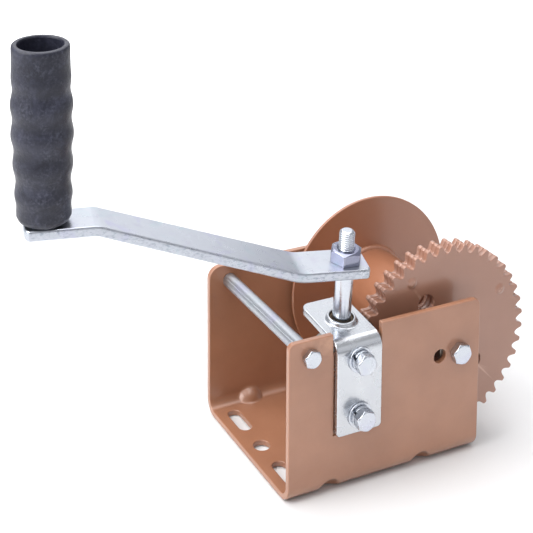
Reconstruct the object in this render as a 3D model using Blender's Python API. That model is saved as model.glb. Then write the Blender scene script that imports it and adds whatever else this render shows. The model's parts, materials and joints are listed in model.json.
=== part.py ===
"""Hand-cranked worm-gear winch, Blender 4.5, metres, +Z up.

Origin: centre of the underside of the base.  The drum axle runs along Y, the
worm shaft stands up on the -X side of the gear and leans by the worm's lead
angle, and the crank arm reaches out towards -X.  "Near" is the -Y side, "far"
the +Y side.  Sizes are in mm and become metres when a mesh is made.
"""
import bpy
import bmesh
import math
from mathutils import Vector, Matrix

for old_object in list(bpy.data.objects):
    bpy.data.objects.remove(old_object, do_unlink=True)

MM = 0.001
PI = math.pi
SHARP_ANGLE = math.radians(32)

# ---------------------------------------------------------------- shared dimensions (mm)
GAP = 0.3           # clearance between neighbouring pieces
SEAT = 0.2          # gap under bolt heads, washers and nuts
RUN = 0.2           # radial running clearance of the bushes
NUT_GAP = 0.2       # radial gap between a nut and its bolt
PAST = 3.0          # how far cutters reach past the sheet they cut

# channel frame
FRAME_L, FRAME_W, FRAME_H = 148.0, 120.0, 110.0
FRAME_T = 4.0
Y_NEAR, Y_FAR = -FRAME_W / 2, FRAME_W / 2
Y_NEAR_IN, Y_FAR_IN = Y_NEAR + FRAME_T, Y_FAR - FRAME_T

# drum axis and gear
DRUM_X, DRUM_Z = 57.0, 75.4
GEAR_TEETH = 41
GEAR_TIP_R = 67.5
GEAR_ROOT_R = 62.1
GEAR_PITCH = 2 * PI * GEAR_TIP_R / (GEAR_TEETH + 2)
GEAR_PITCH_R = GEAR_PITCH * GEAR_TEETH / (2 * PI)
GEAR_STEP = 2 * PI / GEAR_TEETH
GEAR_TOOTH_T = 4.5             # tooth thickness on the pitch circle
GEAR_PHASE = math.radians(145.65)
GEAR_Y0 = -43.0
PLATE_T = 3.8
PLATE_NAMES = ("gear_plate_outer", "gear_plate_middle", "gear_plate_inner")
GEAR_Y1 = GEAR_Y0 + 3 * PLATE_T + 2 * GAP
BORE_R = 10.3
FLANGE_R, FLANGE_T, FLANGE_Y = 66.2, 2.5, 49.8
BUSH_PROUD_NEAR, BUSH_PROUD_FAR = 1.0, 0.6     # drum bushes beyond the gear and the flange

# axle bolt, bracket bolts and tie bolt
BOLT_D = 7.94                  # axle and bracket bolts
BOLT_HOLE_R = BOLT_D / 2 + GAP
WASHER_R, WASHER_T = 8.75, 1.6
SLEEVE_R = 7.0
TIE_X, TIE_Z, TIE_D = -58.2, 98.5, 6.35
TIE_HOLE_R = TIE_D / 2 + GAP

# worm and its shaft; heights are measured along the shaft from WORM_CENTRE
WORM_X = -23.3
WORM_PITCH_R = DRUM_X - GEAR_PITCH_R - WORM_X
LEAD = math.asin(GEAR_PITCH / (2 * PI * WORM_PITCH_R))   # lead angle = lean of the shaft
WORM_LEAD = GEAR_PITCH / math.cos(LEAD)                  # advance in one turn
WORM_CENTRE = Vector((WORM_X, -36.4, DRUM_Z))            # axis point at gear height
HUB_BOTTOM, HUB_TOP = -27.0, 21.2
PIN_R, PIN_HEIGHT = 2.5, -23.3
SHAFT_R = 6.15
SHAFT_BOTTOM, SHAFT_SHOULDER, SHAFT_TOP = -67.4, 67.9, 96.4
STEM_R, STEM_FLAT = 5.15, 4.3                # stem through the arm, half width over flats

# lower bearing
BEARING_R, BEARING_TOP, SPIGOT_R = 14.0, 18.0, 7.0
BEARING_Z = 11.0
BEARING_Y = WORM_CENTRE.y + (DRUM_Z - BEARING_Z) * math.tan(LEAD)

# bracket
BRACKET_Y = -64.0
BRACKET_T = 4.8
BRACKET_TOP = 31.2             # height of the top leg's upper face along the shaft
BRACKET_BOLT_X = -23.9
BRACKET_BOLT_UPPER_Z, BRACKET_BOLT_LOWER_Z = 91.3, 53.0
COLLAR_R, COLLAR_BORE_R, COLLAR_H = 10.1, 8.0, 3.0

# crank arm, in its own frame: +X outwards from the shaft, +Z along the shaft
ARM_W, ARM_T = 27.4, 6.8
ARM_HEIGHT = 75.0              # top face at the shaft
ARM_SWING = math.radians(14.0)               # from -X towards +Y
ARM_INNER_X, ARM_OUTER_X, ARM_RISE = 32.6, 164.3, 42.1   # unrounded corners of the top face
ARM_INNER_END, ARM_OUTER_END = 13.5, 13.2    # ends beyond the shaft and the grip axis
GRIP_REACH = 32.6              # outer corner to grip axis
GRIP_PITCH, GRIP_TWIST = math.radians(-1.65), math.radians(2.5)
SPINDLE_R, SPINDLE_COLLAR_Z = 5.0, 20.6

# ---------------------------------------------------------------- materials
FINISHES = {
    "paint": dict(color=(0.42, 0.24, 0.16), roughness=0.42, metallic=0.25),
    "zinc": dict(color=(0.66, 0.68, 0.72), roughness=0.28, metallic=1.0),
    "steel": dict(color=(0.5, 0.49, 0.47), roughness=0.35, metallic=1.0),
    "bronze": dict(color=(0.32, 0.22, 0.12), roughness=0.5, metallic=0.8),
    "plastic": dict(color=(0.035, 0.036, 0.04), roughness=0.55, metallic=0.0),
}


def material(part, finish):
    """A part's own material, named after the part and its finish."""
    look = FINISHES[finish]
    mat = bpy.data.materials.new(part + "_" + finish)
    mat.use_nodes = True
    inputs = mat.node_tree.nodes["Principled BSDF"].inputs
    inputs["Base Color"].default_value = (*look["color"], 1.0)
    inputs["Roughness"].default_value = look["roughness"]
    inputs["Metallic"].default_value = look["metallic"]
    mat.diffuse_color = (*look["color"], 1.0)
    return mat


# ---------------------------------------------------------------- objects
def shade(mesh):
    mesh.shade_smooth()
    mesh.set_sharp_from_angle(angle=SHARP_ANGLE)


def link(name, data, parent, placement):
    ob = bpy.data.objects.new(name, data)
    bpy.context.scene.collection.objects.link(ob)
    ob.parent = parent
    ob.matrix_basis = placement
    return ob


def make(name, bm, mat=None, parent=None, placement=Matrix.Identity(4)):
    """bmesh in mm -> object in metres, faces pointing out, shaded smooth."""
    bmesh.ops.scale(bm, vec=(MM, MM, MM), verts=bm.verts)
    bmesh.ops.recalc_face_normals(bm, faces=bm.faces)
    mesh = bpy.data.meshes.new(name)
    bm.to_mesh(mesh)
    bm.free()
    if mat is not None:
        mesh.materials.append(mat)
    shade(mesh)
    return link(name, mesh, parent, placement)


def combine(ob, cutters, operation):
    """Apply Boolean operations with the given bmeshes (mm, in the object's own frame)."""
    for bm in cutters:
        cutter = make("cutter", bm, None, ob.parent, ob.matrix_basis.copy())
        cutter.hide_render = True
        mod = ob.modifiers.new("bool", 'BOOLEAN')
        mod.operation = operation
        mod.solver = 'EXACT'
        mod.object = cutter
        depsgraph = bpy.context.evaluated_depsgraph_get()
        depsgraph.update()
        result = bpy.data.meshes.new_from_object(ob.evaluated_get(depsgraph))
        ob.modifiers.clear()
        before = ob.data
        mats = list(before.materials)
        ob.data = result
        bpy.data.meshes.remove(before)
        result.materials.clear()
        for mat in mats:
            result.materials.append(mat)
        bpy.data.objects.remove(cutter, do_unlink=True)
    shade(ob.data)


def empty(name, frame, parent=None):
    """Empty at a frame whose translation is in mm."""
    placement = frame.copy()
    placement.translation = frame.translation * MM
    ob = link(name, None, parent, placement)
    ob.empty_display_size = 0.02
    return ob


def at(x, y, z, rotation=Matrix.Identity(4)):
    """Placement in metres from a position in mm."""
    return Matrix.Translation(Vector((x, y, z)) * MM) @ rotation


TO_PLUS_Y = Matrix.Rotation(-PI / 2, 4, 'X')     # local +Z -> +Y
TO_MINUS_Y = Matrix.Rotation(PI / 2, 4, 'X')     # local +Z -> -Y


# ---------------------------------------------------------------- outlines
def circle(radius, n, cx=0.0, cy=0.0, turn=0.0):
    angles = [turn + 2 * PI * i / n for i in range(n)]
    return [(cx + radius * math.cos(a), cy + radius * math.sin(a)) for a in angles]


def stadium(length, width, cx, cy, n=10):
    """Slot outline with its long side along the second coordinate."""
    r, h = width / 2, (length - width) / 2
    arc = [(r * math.cos(PI * i / n), r * math.sin(PI * i / n)) for i in range(n + 1)]
    return [(cx + u, cy + h + v) for u, v in arc] + [(cx - u, cy - h - v) for u, v in arc]


def round_corners(corners, n=8):
    """Polygon from (u, v, radius) corners; a radius of 0 keeps the corner sharp."""
    out = []
    for i, (u, v, radius) in enumerate(corners):
        if radius <= 0:
            out.append((u, v))
            continue
        corner = Vector((u, v))
        to_last = (Vector(corners[i - 1][:2]) - corner).normalized()
        to_next = (Vector(corners[(i + 1) % len(corners)][:2]) - corner).normalized()
        half_angle = to_last.angle(to_next) / 2
        tangent = radius / math.tan(half_angle)
        centre = corner + (to_last + to_next).normalized() * (radius / math.sin(half_angle))
        start = corner + to_last * tangent - centre
        end = corner + to_next * tangent - centre
        first = math.atan2(start.y, start.x)
        sweep = math.atan2(end.y, end.x) - first
        sweep = (sweep + PI) % (2 * PI) - PI
        for k in range(n + 1):
            a = first + sweep * k / n
            out.append((centre.x + radius * math.cos(a), centre.y + radius * math.sin(a)))
    return out


def corner_waste(u, v, side_u, side_v, radius_u, radius_v, n=8):
    """Waste outside an elliptically rounded corner at (u, v); the sides are +1 or -1."""
    cu, cv = u - side_u * radius_u, v - side_v * radius_v
    past_u, past_v = u + side_u * PAST, v + side_v * PAST
    arc = [(cu + side_u * radius_u * math.sin(PI / 2 * i / n),
            cv + side_v * radius_v * math.cos(PI / 2 * i / n)) for i in range(n + 1)]
    return arc + [(past_u, cv), (past_u, past_v), (cu, past_v)]


# ---------------------------------------------------------------- solids
def ring_stack(rings, closed=False):
    """Bridge rings of equal length; closed=True joins the last ring to the first."""
    bm = bmesh.new()
    loops = [[bm.verts.new(p) for p in ring] for ring in rings]
    n = len(rings[0])
    pairs = list(zip(loops, loops[1:]))
    if closed:
        pairs.append((loops[-1], loops[0]))
    for a, b in pairs:
        for i in range(n):
            j = (i + 1) % n
            bm.faces.new((a[i], a[j], b[j], b[i]))
    if not closed:
        bm.faces.new(loops[0][::-1])
        bm.faces.new(loops[-1])
    return bm


def prism(outline, axis, start, end):
    """Extrude along an axis; the outline is in (y, z), (x, z) or (x, y)."""
    def point(u, v, depth):
        return {'x': (depth, u, v), 'y': (u, depth, v), 'z': (u, v, depth)}[axis]
    return ring_stack([[point(u, v, depth) for u, v in outline] for depth in (start, end)])


def round_ring(radius, z, n, turn=0.0):
    return [(x, y, z) for x, y in circle(radius, n, turn=turn)]


def turned(profile, n, closed=False):
    """Solid of revolution about Z from (radius, z) points; closed=True leaves a bore."""
    return ring_stack([round_ring(radius, z, n) for radius, z in profile], closed)


def tube(outer, inner, z0, z1, n):
    return turned([(inner, z0), (outer, z0), (outer, z1), (inner, z1)], n, True)


def moved(bm, matrix):
    bmesh.ops.transform(bm, matrix=matrix, verts=bm.verts)
    return bm


def rod_between(start, end, radius, n):
    start, end = Vector(start), Vector(end)
    d = end - start
    frame = Matrix.Translation(start) @ d.to_track_quat('Z', 'Y').to_matrix().to_4x4()
    return moved(turned([(radius, 0.0), (radius, d.length)], n), frame)


# ---------------------------------------------------------------- fasteners
CHAMFER_SLOPE = 0.55           # turned chamfer on hexagon corners


def hex_ring(across_flats, z, n, turn, cone_r=math.inf):
    """Hexagon ring of n points; beyond cone_r the corners drop for the chamfer."""
    out = []
    for i in range(n):
        a = 2 * PI * i / n
        from_flat = (a + PI / 6) % (PI / 3) - PI / 6
        r = across_flats / 2 / math.cos(from_flat)
        drop = max(0.0, r - cone_r) * CHAMFER_SLOPE
        out.append((r * math.cos(a + turn), r * math.sin(a + turn), z - drop))
    return out


def hex_bolt(diameter, across_flats, head_h, length, turn, n=18):
    """Head from z = 0 up to head_h, shank down to -length."""
    shank_r, cone_r = diameter / 2, across_flats / 2 * 0.96
    return ring_stack([round_ring(shank_r * 0.8, -length, n, turn),
                       round_ring(shank_r, -length + shank_r * 0.3, n, turn),
                       round_ring(shank_r, 0, n, turn),
                       hex_ring(across_flats, 0, n, turn),
                       hex_ring(across_flats, head_h - 0.25, n, turn, cone_r),
                       round_ring(cone_r, head_h, n, turn)])


def hex_nut(bore_r, across_flats, height, turn=0.0, n=18):
    """Nut on z = 0 with a countersunk upper face."""
    cone_r = across_flats / 2 * 0.95
    sink = 0.9
    return ring_stack([round_ring(bore_r, 0, n, turn),
                       hex_ring(across_flats, 0, n, turn),
                       hex_ring(across_flats, height - 0.2, n, turn, cone_r),
                       round_ring(cone_r, height, n, turn),
                       round_ring(bore_r + sink, height, n, turn),
                       round_ring(bore_r, height - sink, n, turn)], closed=True)


def lock_ring(outer, inner, thickness, split, turn, n=20):
    """Split spring washer on z = 0: an open ring whose ends differ in height."""
    rise = 0.25
    sections = []
    for i in range(n + 1):
        a = turn + split / 2 + (2 * PI - split) * i / n
        z0 = rise * (i / n)
        z1 = thickness - rise + z0
        sections.append([(r * math.cos(a), r * math.sin(a), z) for r, z in
                         ((inner, z0), (outer, z0), (outer, z1), (inner, z1))])
    return ring_stack(sections)


# ---------------------------------------------------------------- axes
drum_axis = empty("drum_axis", Matrix.Translation((DRUM_X, 0, DRUM_Z)))
tilt = Matrix.Rotation(LEAD, 4, 'X')              # +Z leans towards -Y
shaft_dir = tilt.to_3x3() @ Vector((0, 0, 1))
crank_frame = Matrix.Translation(WORM_CENTRE) @ tilt
crank_axis = empty("crank_axis", crank_frame)

# the arm's direction, turned about the leaning shaft
arm_dir = tilt.inverted().to_3x3() @ Vector((-math.cos(ARM_SWING), math.sin(ARM_SWING), 0))
arm_turn = Matrix.Rotation(math.atan2(arm_dir.y, arm_dir.x), 4, 'Z')
grip_turn = Matrix.Rotation(-GRIP_PITCH, 4, 'Y') @ Matrix.Rotation(GRIP_TWIST, 4, 'X')
outer_corner = Vector((ARM_OUTER_X, 0, ARM_RISE))
outer_dir = grip_turn.to_3x3() @ Vector((1, 0, 0))
grip_in_arm = Matrix.Translation(outer_corner + outer_dir * GRIP_REACH) @ grip_turn
arm_frame = Matrix.Translation((0, 0, ARM_HEIGHT)) @ arm_turn
grip_axis = empty("grip_axis", arm_frame @ grip_in_arm, crank_axis)


def shaft_bore(start, end, radius):
    """Cutter along the leaning shaft in the world frame, between two shaft heights."""
    return rod_between(WORM_CENTRE + shaft_dir * start, WORM_CENTRE + shaft_dir * end, radius, 32)


# ---------------------------------------------------------------- frame channel
FRAME_BEND_R = 11.0            # outer bend radius
NEAR_WALL = (Y_NEAR - PAST, Y_NEAR_IN + PAST)    # cutter spans through the sheet
FAR_WALL = (Y_FAR_IN - PAST, Y_FAR + PAST)
FLOOR = (-PAST, FRAME_T + PAST)
# upper corners: side along X, radius, wall
FRAME_CORNERS = ((-1, 4.5, NEAR_WALL), (1, 5.0, NEAR_WALL), (-1, 9.0, FAR_WALL), (1, 9.0, FAR_WALL))
SLOT_L, SLOT_W, SLOT_X, SLOT_Y = 25.6, 9.6, 61.3, 33.0
BASE_HOLE_D = 11.5
BRACKET_HOLE_R = 4.25
SPARE_HOLE_D, SPARE_HOLE_X, SPARE_HOLE_Z = 9.5, 41.8, 75.4
NOTCH_X0, NOTCH_X1, NOTCH_Z = -41.4, -4.9, 96.2
RECESS_X1, RECESS_Z, RECESS_DEPTH = -6.1, 39.9, 1.0
DART_X = (-42.0, 29.0)         # pressed stiffening darts in both bends
# centre's distance inwards from the inner corner, then semi-axes along X, inwards and across
DART_DOME = (0.6, 9.0, 6.6, 8.6)
DART_DENT = (-2.8, 7.5, 5.4, 10.0)
DART_SKIN = 0.02               # domes stop this far inside the outer faces
DART_LIMIT_Z = 40


def dart_solid(x, side, offset, half_x, half_in, half_across, n=14, m=24):
    """Ellipsoid centred on the 45 degree line through the inside corner."""
    corner = Vector((Y_NEAR_IN if side < 0 else Y_FAR_IN, FRAME_T))
    inward = Vector((-side, 1)).normalized()
    across = Vector((side, 1)).normalized()
    centre = corner + inward * offset
    rings = []
    for i in range(n):
        f = 0.12 + (PI - 0.24) * i / (n - 1)     # stops short of the poles
        ring = []
        for j in range(m):
            t = 2 * PI * (j + 0.5) / m
            p = (centre + inward * (half_in * math.sin(f) * math.cos(t))
                 + across * (half_across * math.sin(f) * math.sin(t)))
            ring.append((x + half_x * math.cos(f), p.x, p.y))
        rings.append(ring)
    return ring_stack(rings)


def dart_dome(x, side):
    """Dart bump trimmed to stay within the channel's outer faces."""
    y0, y1 = Y_NEAR + DART_SKIN, Y_FAR - DART_SKIN
    limit = round_corners([(y0, DART_LIMIT_Z, 0), (y0, DART_SKIN, FRAME_BEND_R),
                           (y1, DART_SKIN, FRAME_BEND_R), (y1, DART_LIMIT_Z, 0)])
    dome = make("dart_tmp", dart_solid(x, side, *DART_DOME))
    combine(dome, [prism(limit, 'x', -FRAME_L / 2 + 1, FRAME_L / 2 - 1)], 'INTERSECT')
    bm = bmesh.new()
    bm.from_mesh(dome.data)
    bmesh.ops.scale(bm, vec=(1 / MM, 1 / MM, 1 / MM), verts=bm.verts)
    bpy.data.objects.remove(dome, do_unlink=True)
    return bm


def frame_cutters():
    cuts = [prism(corner_waste(side * FRAME_L / 2, FRAME_H, side, 1, r, r), 'y', *wall)
            for side, r, wall in FRAME_CORNERS]
    for sx in (-1, 1):
        for sy in (-1, 1):
            cuts.append(prism(stadium(SLOT_L, SLOT_W, sx * SLOT_X, sy * SLOT_Y), 'z', *FLOOR))
        cuts.append(prism(circle(BASE_HOLE_D / 2, 24, sx * SLOT_X, 0), 'z', *FLOOR))
    # bracket notch, and the shallow recess below it in the outer face
    top = FRAME_H + PAST
    cuts.append(prism([(NOTCH_X0, NOTCH_Z), (NOTCH_X1, NOTCH_Z), (NOTCH_X1, top),
                       (NOTCH_X0, top)], 'y', *NEAR_WALL))
    top = NOTCH_Z + 4
    cuts.append(prism([(NOTCH_X0, RECESS_Z), (RECESS_X1, RECESS_Z), (RECESS_X1, top),
                       (NOTCH_X0, top)], 'y', Y_NEAR - PAST, Y_NEAR + RECESS_DEPTH))
    for z in (BRACKET_BOLT_LOWER_Z, BRACKET_BOLT_UPPER_Z):
        cuts.append(prism(circle(BRACKET_HOLE_R, 20, BRACKET_BOLT_X, z), 'y', *NEAR_WALL))
    for wall in (NEAR_WALL, FAR_WALL):
        cuts.append(prism(circle(BOLT_HOLE_R, 24, DRUM_X, DRUM_Z), 'y', *wall))
        cuts.append(prism(circle(TIE_HOLE_R, 20, TIE_X, TIE_Z), 'y', *wall))
    cuts.append(prism(circle(SPARE_HOLE_D / 2, 24, SPARE_HOLE_X, SPARE_HOLE_Z), 'y', *NEAR_WALL))
    # hole for the spigot of the lower bearing
    cuts.append(prism(circle(SPIGOT_R + GAP, 28, WORM_X, BEARING_Y), 'z', *FLOOR))
    return cuts


def build_frame():
    inner_r = FRAME_BEND_R - FRAME_T
    section = round_corners([
        (Y_NEAR, FRAME_H, 0), (Y_NEAR, 0, FRAME_BEND_R), (Y_FAR, 0, FRAME_BEND_R),
        (Y_FAR, FRAME_H, 0), (Y_FAR_IN, FRAME_H, 0), (Y_FAR_IN, FRAME_T, inner_r),
        (Y_NEAR_IN, FRAME_T, inner_r), (Y_NEAR_IN, FRAME_H, 0)])
    frame = make("frame_channel", prism(section, 'x', -FRAME_L / 2, FRAME_L / 2),
                 material("frame", "paint"))
    # each dart is a bump inside the bend with a shallow dent behind it
    for x in DART_X:
        for side in (-1, 1):
            combine(frame, [dart_dome(x, side)], 'UNION')
            combine(frame, [dart_solid(x, side, *DART_DENT)], 'DIFFERENCE')
    combine(frame, frame_cutters(), 'DIFFERENCE')


# ---------------------------------------------------------------- lower bearing block
def build_lower_bearing():
    profile = [(SPIGOT_R - 0.6, 0.25), (SPIGOT_R, 0.9), (SPIGOT_R, FRAME_T + GAP),
               (BEARING_R, FRAME_T + GAP), (BEARING_R, BEARING_TOP - 1.2),
               (BEARING_R - 1.2, BEARING_TOP)]
    block = moved(turned(profile, 32), Matrix.Translation((WORM_X, BEARING_Y, 0)))
    bearing = make("lower_worm_bearing", block, material("lower_bearing", "bronze"))
    combine(bearing, [shaft_bore(SHAFT_BOTTOM - 0.4, SHAFT_BOTTOM + 25, SHAFT_R + RUN)],
            'DIFFERENCE')


# ---------------------------------------------------------------- worm bracket
BRACKET_X0, BRACKET_X1, BRACKET_Z0 = -40.6, -6.8, 40.6
BRACKET_LEG_L = 49.8           # top leg, from the outer corner
BRACKET_BEND_R = 9.0           # outer bend radius
BRACKET_END_R = 6.5            # corners of the top leg's free end
BRACKET_SIDES = ((BRACKET_X0, -1, 2.6), (BRACKET_X1, 1, 3.0))  # x, side, lower corner radius


def plane_z(y, height):
    """World z at y of the plane square to the shaft at this shaft height."""
    return DRUM_Z + (height + (y - WORM_CENTRE.y) * math.sin(LEAD)) / math.cos(LEAD)


def build_bracket():
    leg_y, leg_z = math.cos(LEAD), math.sin(LEAD)         # top leg's direction
    inner_y = BRACKET_Y + BRACKET_T
    outer_z = plane_z(BRACKET_Y, BRACKET_TOP)
    inner_z = plane_z(inner_y, BRACKET_TOP - BRACKET_T)
    end_y, end_z = BRACKET_Y + BRACKET_LEG_L * leg_y, outer_z + BRACKET_LEG_L * leg_z
    section = round_corners([
        (BRACKET_Y, BRACKET_Z0, 0), (BRACKET_Y, outer_z, BRACKET_BEND_R), (end_y, end_z, 0),
        (end_y + BRACKET_T * leg_z, end_z - BRACKET_T * leg_y, 0),
        (inner_y, inner_z, BRACKET_BEND_R - BRACKET_T), (inner_y, BRACKET_Z0, 0)])
    bracket = make("worm_bracket", prism(section, 'x', BRACKET_X0, BRACKET_X1),
                   material("bracket", "zinc"))

    # collar round the shaft hole
    collar = turned([(COLLAR_BORE_R, -2.0), (COLLAR_R, -2.0), (COLLAR_R, COLLAR_H - 1.3),
                     (COLLAR_R - 0.35, COLLAR_H - 0.55), (COLLAR_R - 1.05, COLLAR_H),
                     (COLLAR_BORE_R + 0.4, COLLAR_H), (COLLAR_BORE_R, COLLAR_H - 0.4)], 32, True)
    on_leg = crank_frame @ Matrix.Translation((0, 0, BRACKET_TOP))
    combine(bracket, [moved(collar, on_leg)], 'UNION')

    wall = (BRACKET_Y - PAST, inner_y + PAST)
    cuts = [shaft_bore(BRACKET_TOP - 12, BRACKET_TOP + 12, COLLAR_BORE_R)]
    for z in (BRACKET_BOLT_LOWER_Z, BRACKET_BOLT_UPPER_Z):
        cuts.append(prism(circle(BOLT_HOLE_R, 24, BRACKET_BOLT_X, z), 'y', *wall))
    for x, side, r in BRACKET_SIDES:
        cuts.append(prism(corner_waste(x, BRACKET_Z0, side, -1, r, r), 'y', *wall))
    leg_frame = Matrix.Translation((0, BRACKET_Y, outer_z)) @ tilt
    for x, side, _ in BRACKET_SIDES:
        waste = corner_waste(x, BRACKET_LEG_L, side, 1, BRACKET_END_R, BRACKET_END_R)
        cuts.append(moved(prism(waste, 'z', -BRACKET_T - PAST, PAST), leg_frame))
    combine(bracket, cuts, 'DIFFERENCE')


# ---------------------------------------------------------------- upper bush and washer
THRUST_Z0 = HUB_TOP + GAP
THRUST_Z1 = THRUST_Z0 + 1.9
THRUST_R = 10.0
UPPER_BUSH_R = 11.0            # wider part, below the bracket's top leg


def build_upper_bush():
    bottom = THRUST_Z1 + GAP
    under_leg = BRACKET_TOP - BRACKET_T - GAP
    top = BRACKET_TOP + COLLAR_H - 1.2
    neck_r, bore_r = COLLAR_BORE_R - GAP, SHAFT_R + RUN
    profile = [(bore_r, bottom), (UPPER_BUSH_R, bottom), (UPPER_BUSH_R, under_leg),
               (neck_r, under_leg), (neck_r, top), (bore_r, top)]
    make("upper_worm_bush", turned(profile, 30, True), material("upper_bush", "bronze"),
         crank_axis)
    make("worm_thrust_washer", tube(THRUST_R, SHAFT_R + 0.25, THRUST_Z0, THRUST_Z1, 28),
         material("thrust_washer", "steel"), crank_axis)


# ---------------------------------------------------------------- bracket bolts
LOCK_R, LOCK_T, LOCK_SPLIT = 7.2, 2.2, math.radians(16.0)
BRACKET_BOLT_AF, BRACKET_BOLT_HEAD, BRACKET_BOLT_L = 13.0, 5.3, 11.9
# name, z, turn of the head
BRACKET_BOLTS = (("upper", BRACKET_BOLT_UPPER_Z, 0.35), ("lower", BRACKET_BOLT_LOWER_Z, 0.2))


def build_bracket_bolts():
    flat_y = BRACKET_Y - SEAT
    lock_y = flat_y - WASHER_T - SEAT
    head_y = lock_y - LOCK_T - SEAT
    for name, z, turn in BRACKET_BOLTS:
        make("bracket_flat_washer_" + name, tube(WASHER_R, BOLT_HOLE_R, 0, WASHER_T, 24),
             material("flat_washer_" + name, "zinc"), None,
             at(BRACKET_BOLT_X, flat_y, z, TO_MINUS_Y))
        make("bracket_lock_washer_" + name,
             lock_ring(LOCK_R, BOLT_HOLE_R, LOCK_T, LOCK_SPLIT, turn + 2.2),
             material("lock_washer_" + name, "zinc"), None,
             at(BRACKET_BOLT_X, lock_y, z, TO_MINUS_Y))
        make("bracket_bolt_" + name,
             hex_bolt(BOLT_D, BRACKET_BOLT_AF, BRACKET_BOLT_HEAD, BRACKET_BOLT_L, turn),
             material("bracket_bolt_" + name, "zinc"), None,
             at(BRACKET_BOLT_X, head_y, z, TO_MINUS_Y))


# ---------------------------------------------------------------- tie bolt and axle
TIE_AF, TIE_HEAD, TIE_NUT_H = 11.1, 4.1, 5.2
TIE_TUBE_R = 5.2
TIE_WASHER_R, TIE_WASHER_T = 7.0, 1.4
AXLE_AF, AXLE_HEAD, AXLE_NUT_H = 13.2, 5.3, 6.6
SPACER_R = 12.0
SPACER_GAP = 0.4               # between the axle spacers and the drum bushes


def build_cross_bolt(name, x, z, diameter, af, head_h, length, turn, washer, nut_h):
    """Bolt through both frame walls with a (radius, thickness) washer and a nut at +Y."""
    washer_r, washer_t = washer
    make(name + "_bolt", hex_bolt(diameter, af, head_h, length, turn),
         material(name + "_bolt", "zinc"), None, at(x, Y_NEAR - SEAT, z, TO_MINUS_Y))
    make(name + "_washer", tube(washer_r, diameter / 2 + GAP, 0, washer_t, 24 if washer_r > 8 else 22),
         material(name + "_washer", "zinc"), None, at(x, Y_FAR + SEAT, z, TO_PLUS_Y))
    make(name + "_nut", hex_nut(diameter / 2 + NUT_GAP, af, nut_h),
         material(name + "_nut", "zinc"), None,
         at(x, Y_FAR + SEAT + washer_t + SEAT, z, TO_PLUS_Y))


def build_tie():
    make("tie_spacer_tube",
         tube(TIE_TUBE_R, TIE_D / 2 + 0.5, Y_NEAR_IN + GAP, Y_FAR_IN - GAP, 28),
         material("tie_tube", "zinc"), None, at(TIE_X, 0, TIE_Z, TO_PLUS_Y))
    build_cross_bolt("tie", TIE_X, TIE_Z, TIE_D, TIE_AF, TIE_HEAD, length=FRAME_W + 9.0,
                     turn=0.25, washer=(TIE_WASHER_R, TIE_WASHER_T), nut_h=TIE_NUT_H)


def build_axle():
    build_cross_bolt("axle", DRUM_X, DRUM_Z, BOLT_D, AXLE_AF, AXLE_HEAD, length=FRAME_W + 11.5,
                     turn=0.3, washer=(WASHER_R, WASHER_T), nut_h=AXLE_NUT_H)
    near, far = Y_NEAR_IN + GAP, Y_FAR_IN - GAP
    bush_near = GEAR_Y0 - BUSH_PROUD_NEAR
    bush_far = FLANGE_Y + FLANGE_T + BUSH_PROUD_FAR
    # name, outer radius, bore radius, y from, y to, segments
    for name, outer, inner, y0, y1, n in (
            ("axle_sleeve", SLEEVE_R, BOLT_HOLE_R, near, far, 32),
            ("axle_spacer_near", SPACER_R, SLEEVE_R + GAP, near, bush_near - SPACER_GAP, 28),
            ("axle_spacer_far", SPACER_R, SLEEVE_R + GAP, bush_far + SPACER_GAP, far, 28)):
        make(name, tube(outer, inner, y0, y1, n), material(name, "steel"), None,
             at(DRUM_X, 0, DRUM_Z, TO_PLUS_Y))


# ---------------------------------------------------------------- gear (three laminations)
GEAR_FLANK = math.radians(21.0)
LIGHT_HOLE_R, LIGHT_HOLE_AT_R, LIGHT_HOLE_ANGLES = 6.3, 33.0, (117.0, -40.0)
# round bumps on the -Y face, with matching pockets in the +Y face
BUMP_R, BUMP_AT_R, BUMP_ANGLES, BUMP_H = 3.5, 54.0, (30.0, 120.0, 210.0), 1.3


def gear_outline():
    """Straight-flanked teeth with eased tips and roots, in (x, z) about the axle."""
    def half_width(r):
        return GEAR_TOOTH_T / 2 - (r - GEAR_PITCH_R) * math.tan(GEAR_FLANK)
    low, high = GEAR_ROOT_R + 1.0, GEAR_TIP_R - 1.2
    flank = [(low, half_width(low) + 0.25), (high, half_width(high)),
             (GEAR_TIP_R - 0.1, half_width(high) - 0.75)]
    points = []
    for k in range(GEAR_TEETH):
        centre = GEAR_PHASE - k * GEAR_STEP
        polar = [(GEAR_ROOT_R, centre + GEAR_STEP / 2)]
        polar += [(r, centre + w / r) for r, w in flank]
        polar += [(r, centre - w / r) for r, w in reversed(flank)]
        points += [(r * math.cos(a), r * math.sin(a)) for r, a in polar]
    return points


def discs(radius, n, at_r, angles, y0, y1):
    """Short cylinders along Y, set round the axle at angles in degrees."""
    out = []
    for degrees in angles:
        a = math.radians(degrees)
        out.append(prism(circle(radius, n, at_r * math.cos(a), at_r * math.sin(a)), 'y', y0, y1))
    return out


def gear_plate_mesh():
    ob = make("gear_tmp", prism(gear_outline(), 'y', 0.0, PLATE_T))
    combine(ob, discs(BUMP_R, 12, BUMP_AT_R, BUMP_ANGLES, 0.8, -BUMP_H), 'UNION')
    holes = [prism(circle(BORE_R, 28), 'y', -PAST, PLATE_T + PAST)]
    holes += discs(LIGHT_HOLE_R, 20, LIGHT_HOLE_AT_R, LIGHT_HOLE_ANGLES, -PAST, PLATE_T + PAST)
    holes += discs(BUMP_R + 0.35, 12, BUMP_AT_R, BUMP_ANGLES,
                   PLATE_T - BUMP_H - 0.2, PLATE_T + PAST)
    combine(ob, holes, 'DIFFERENCE')
    mesh = ob.data
    bpy.data.objects.remove(ob, do_unlink=True)
    return mesh


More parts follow.
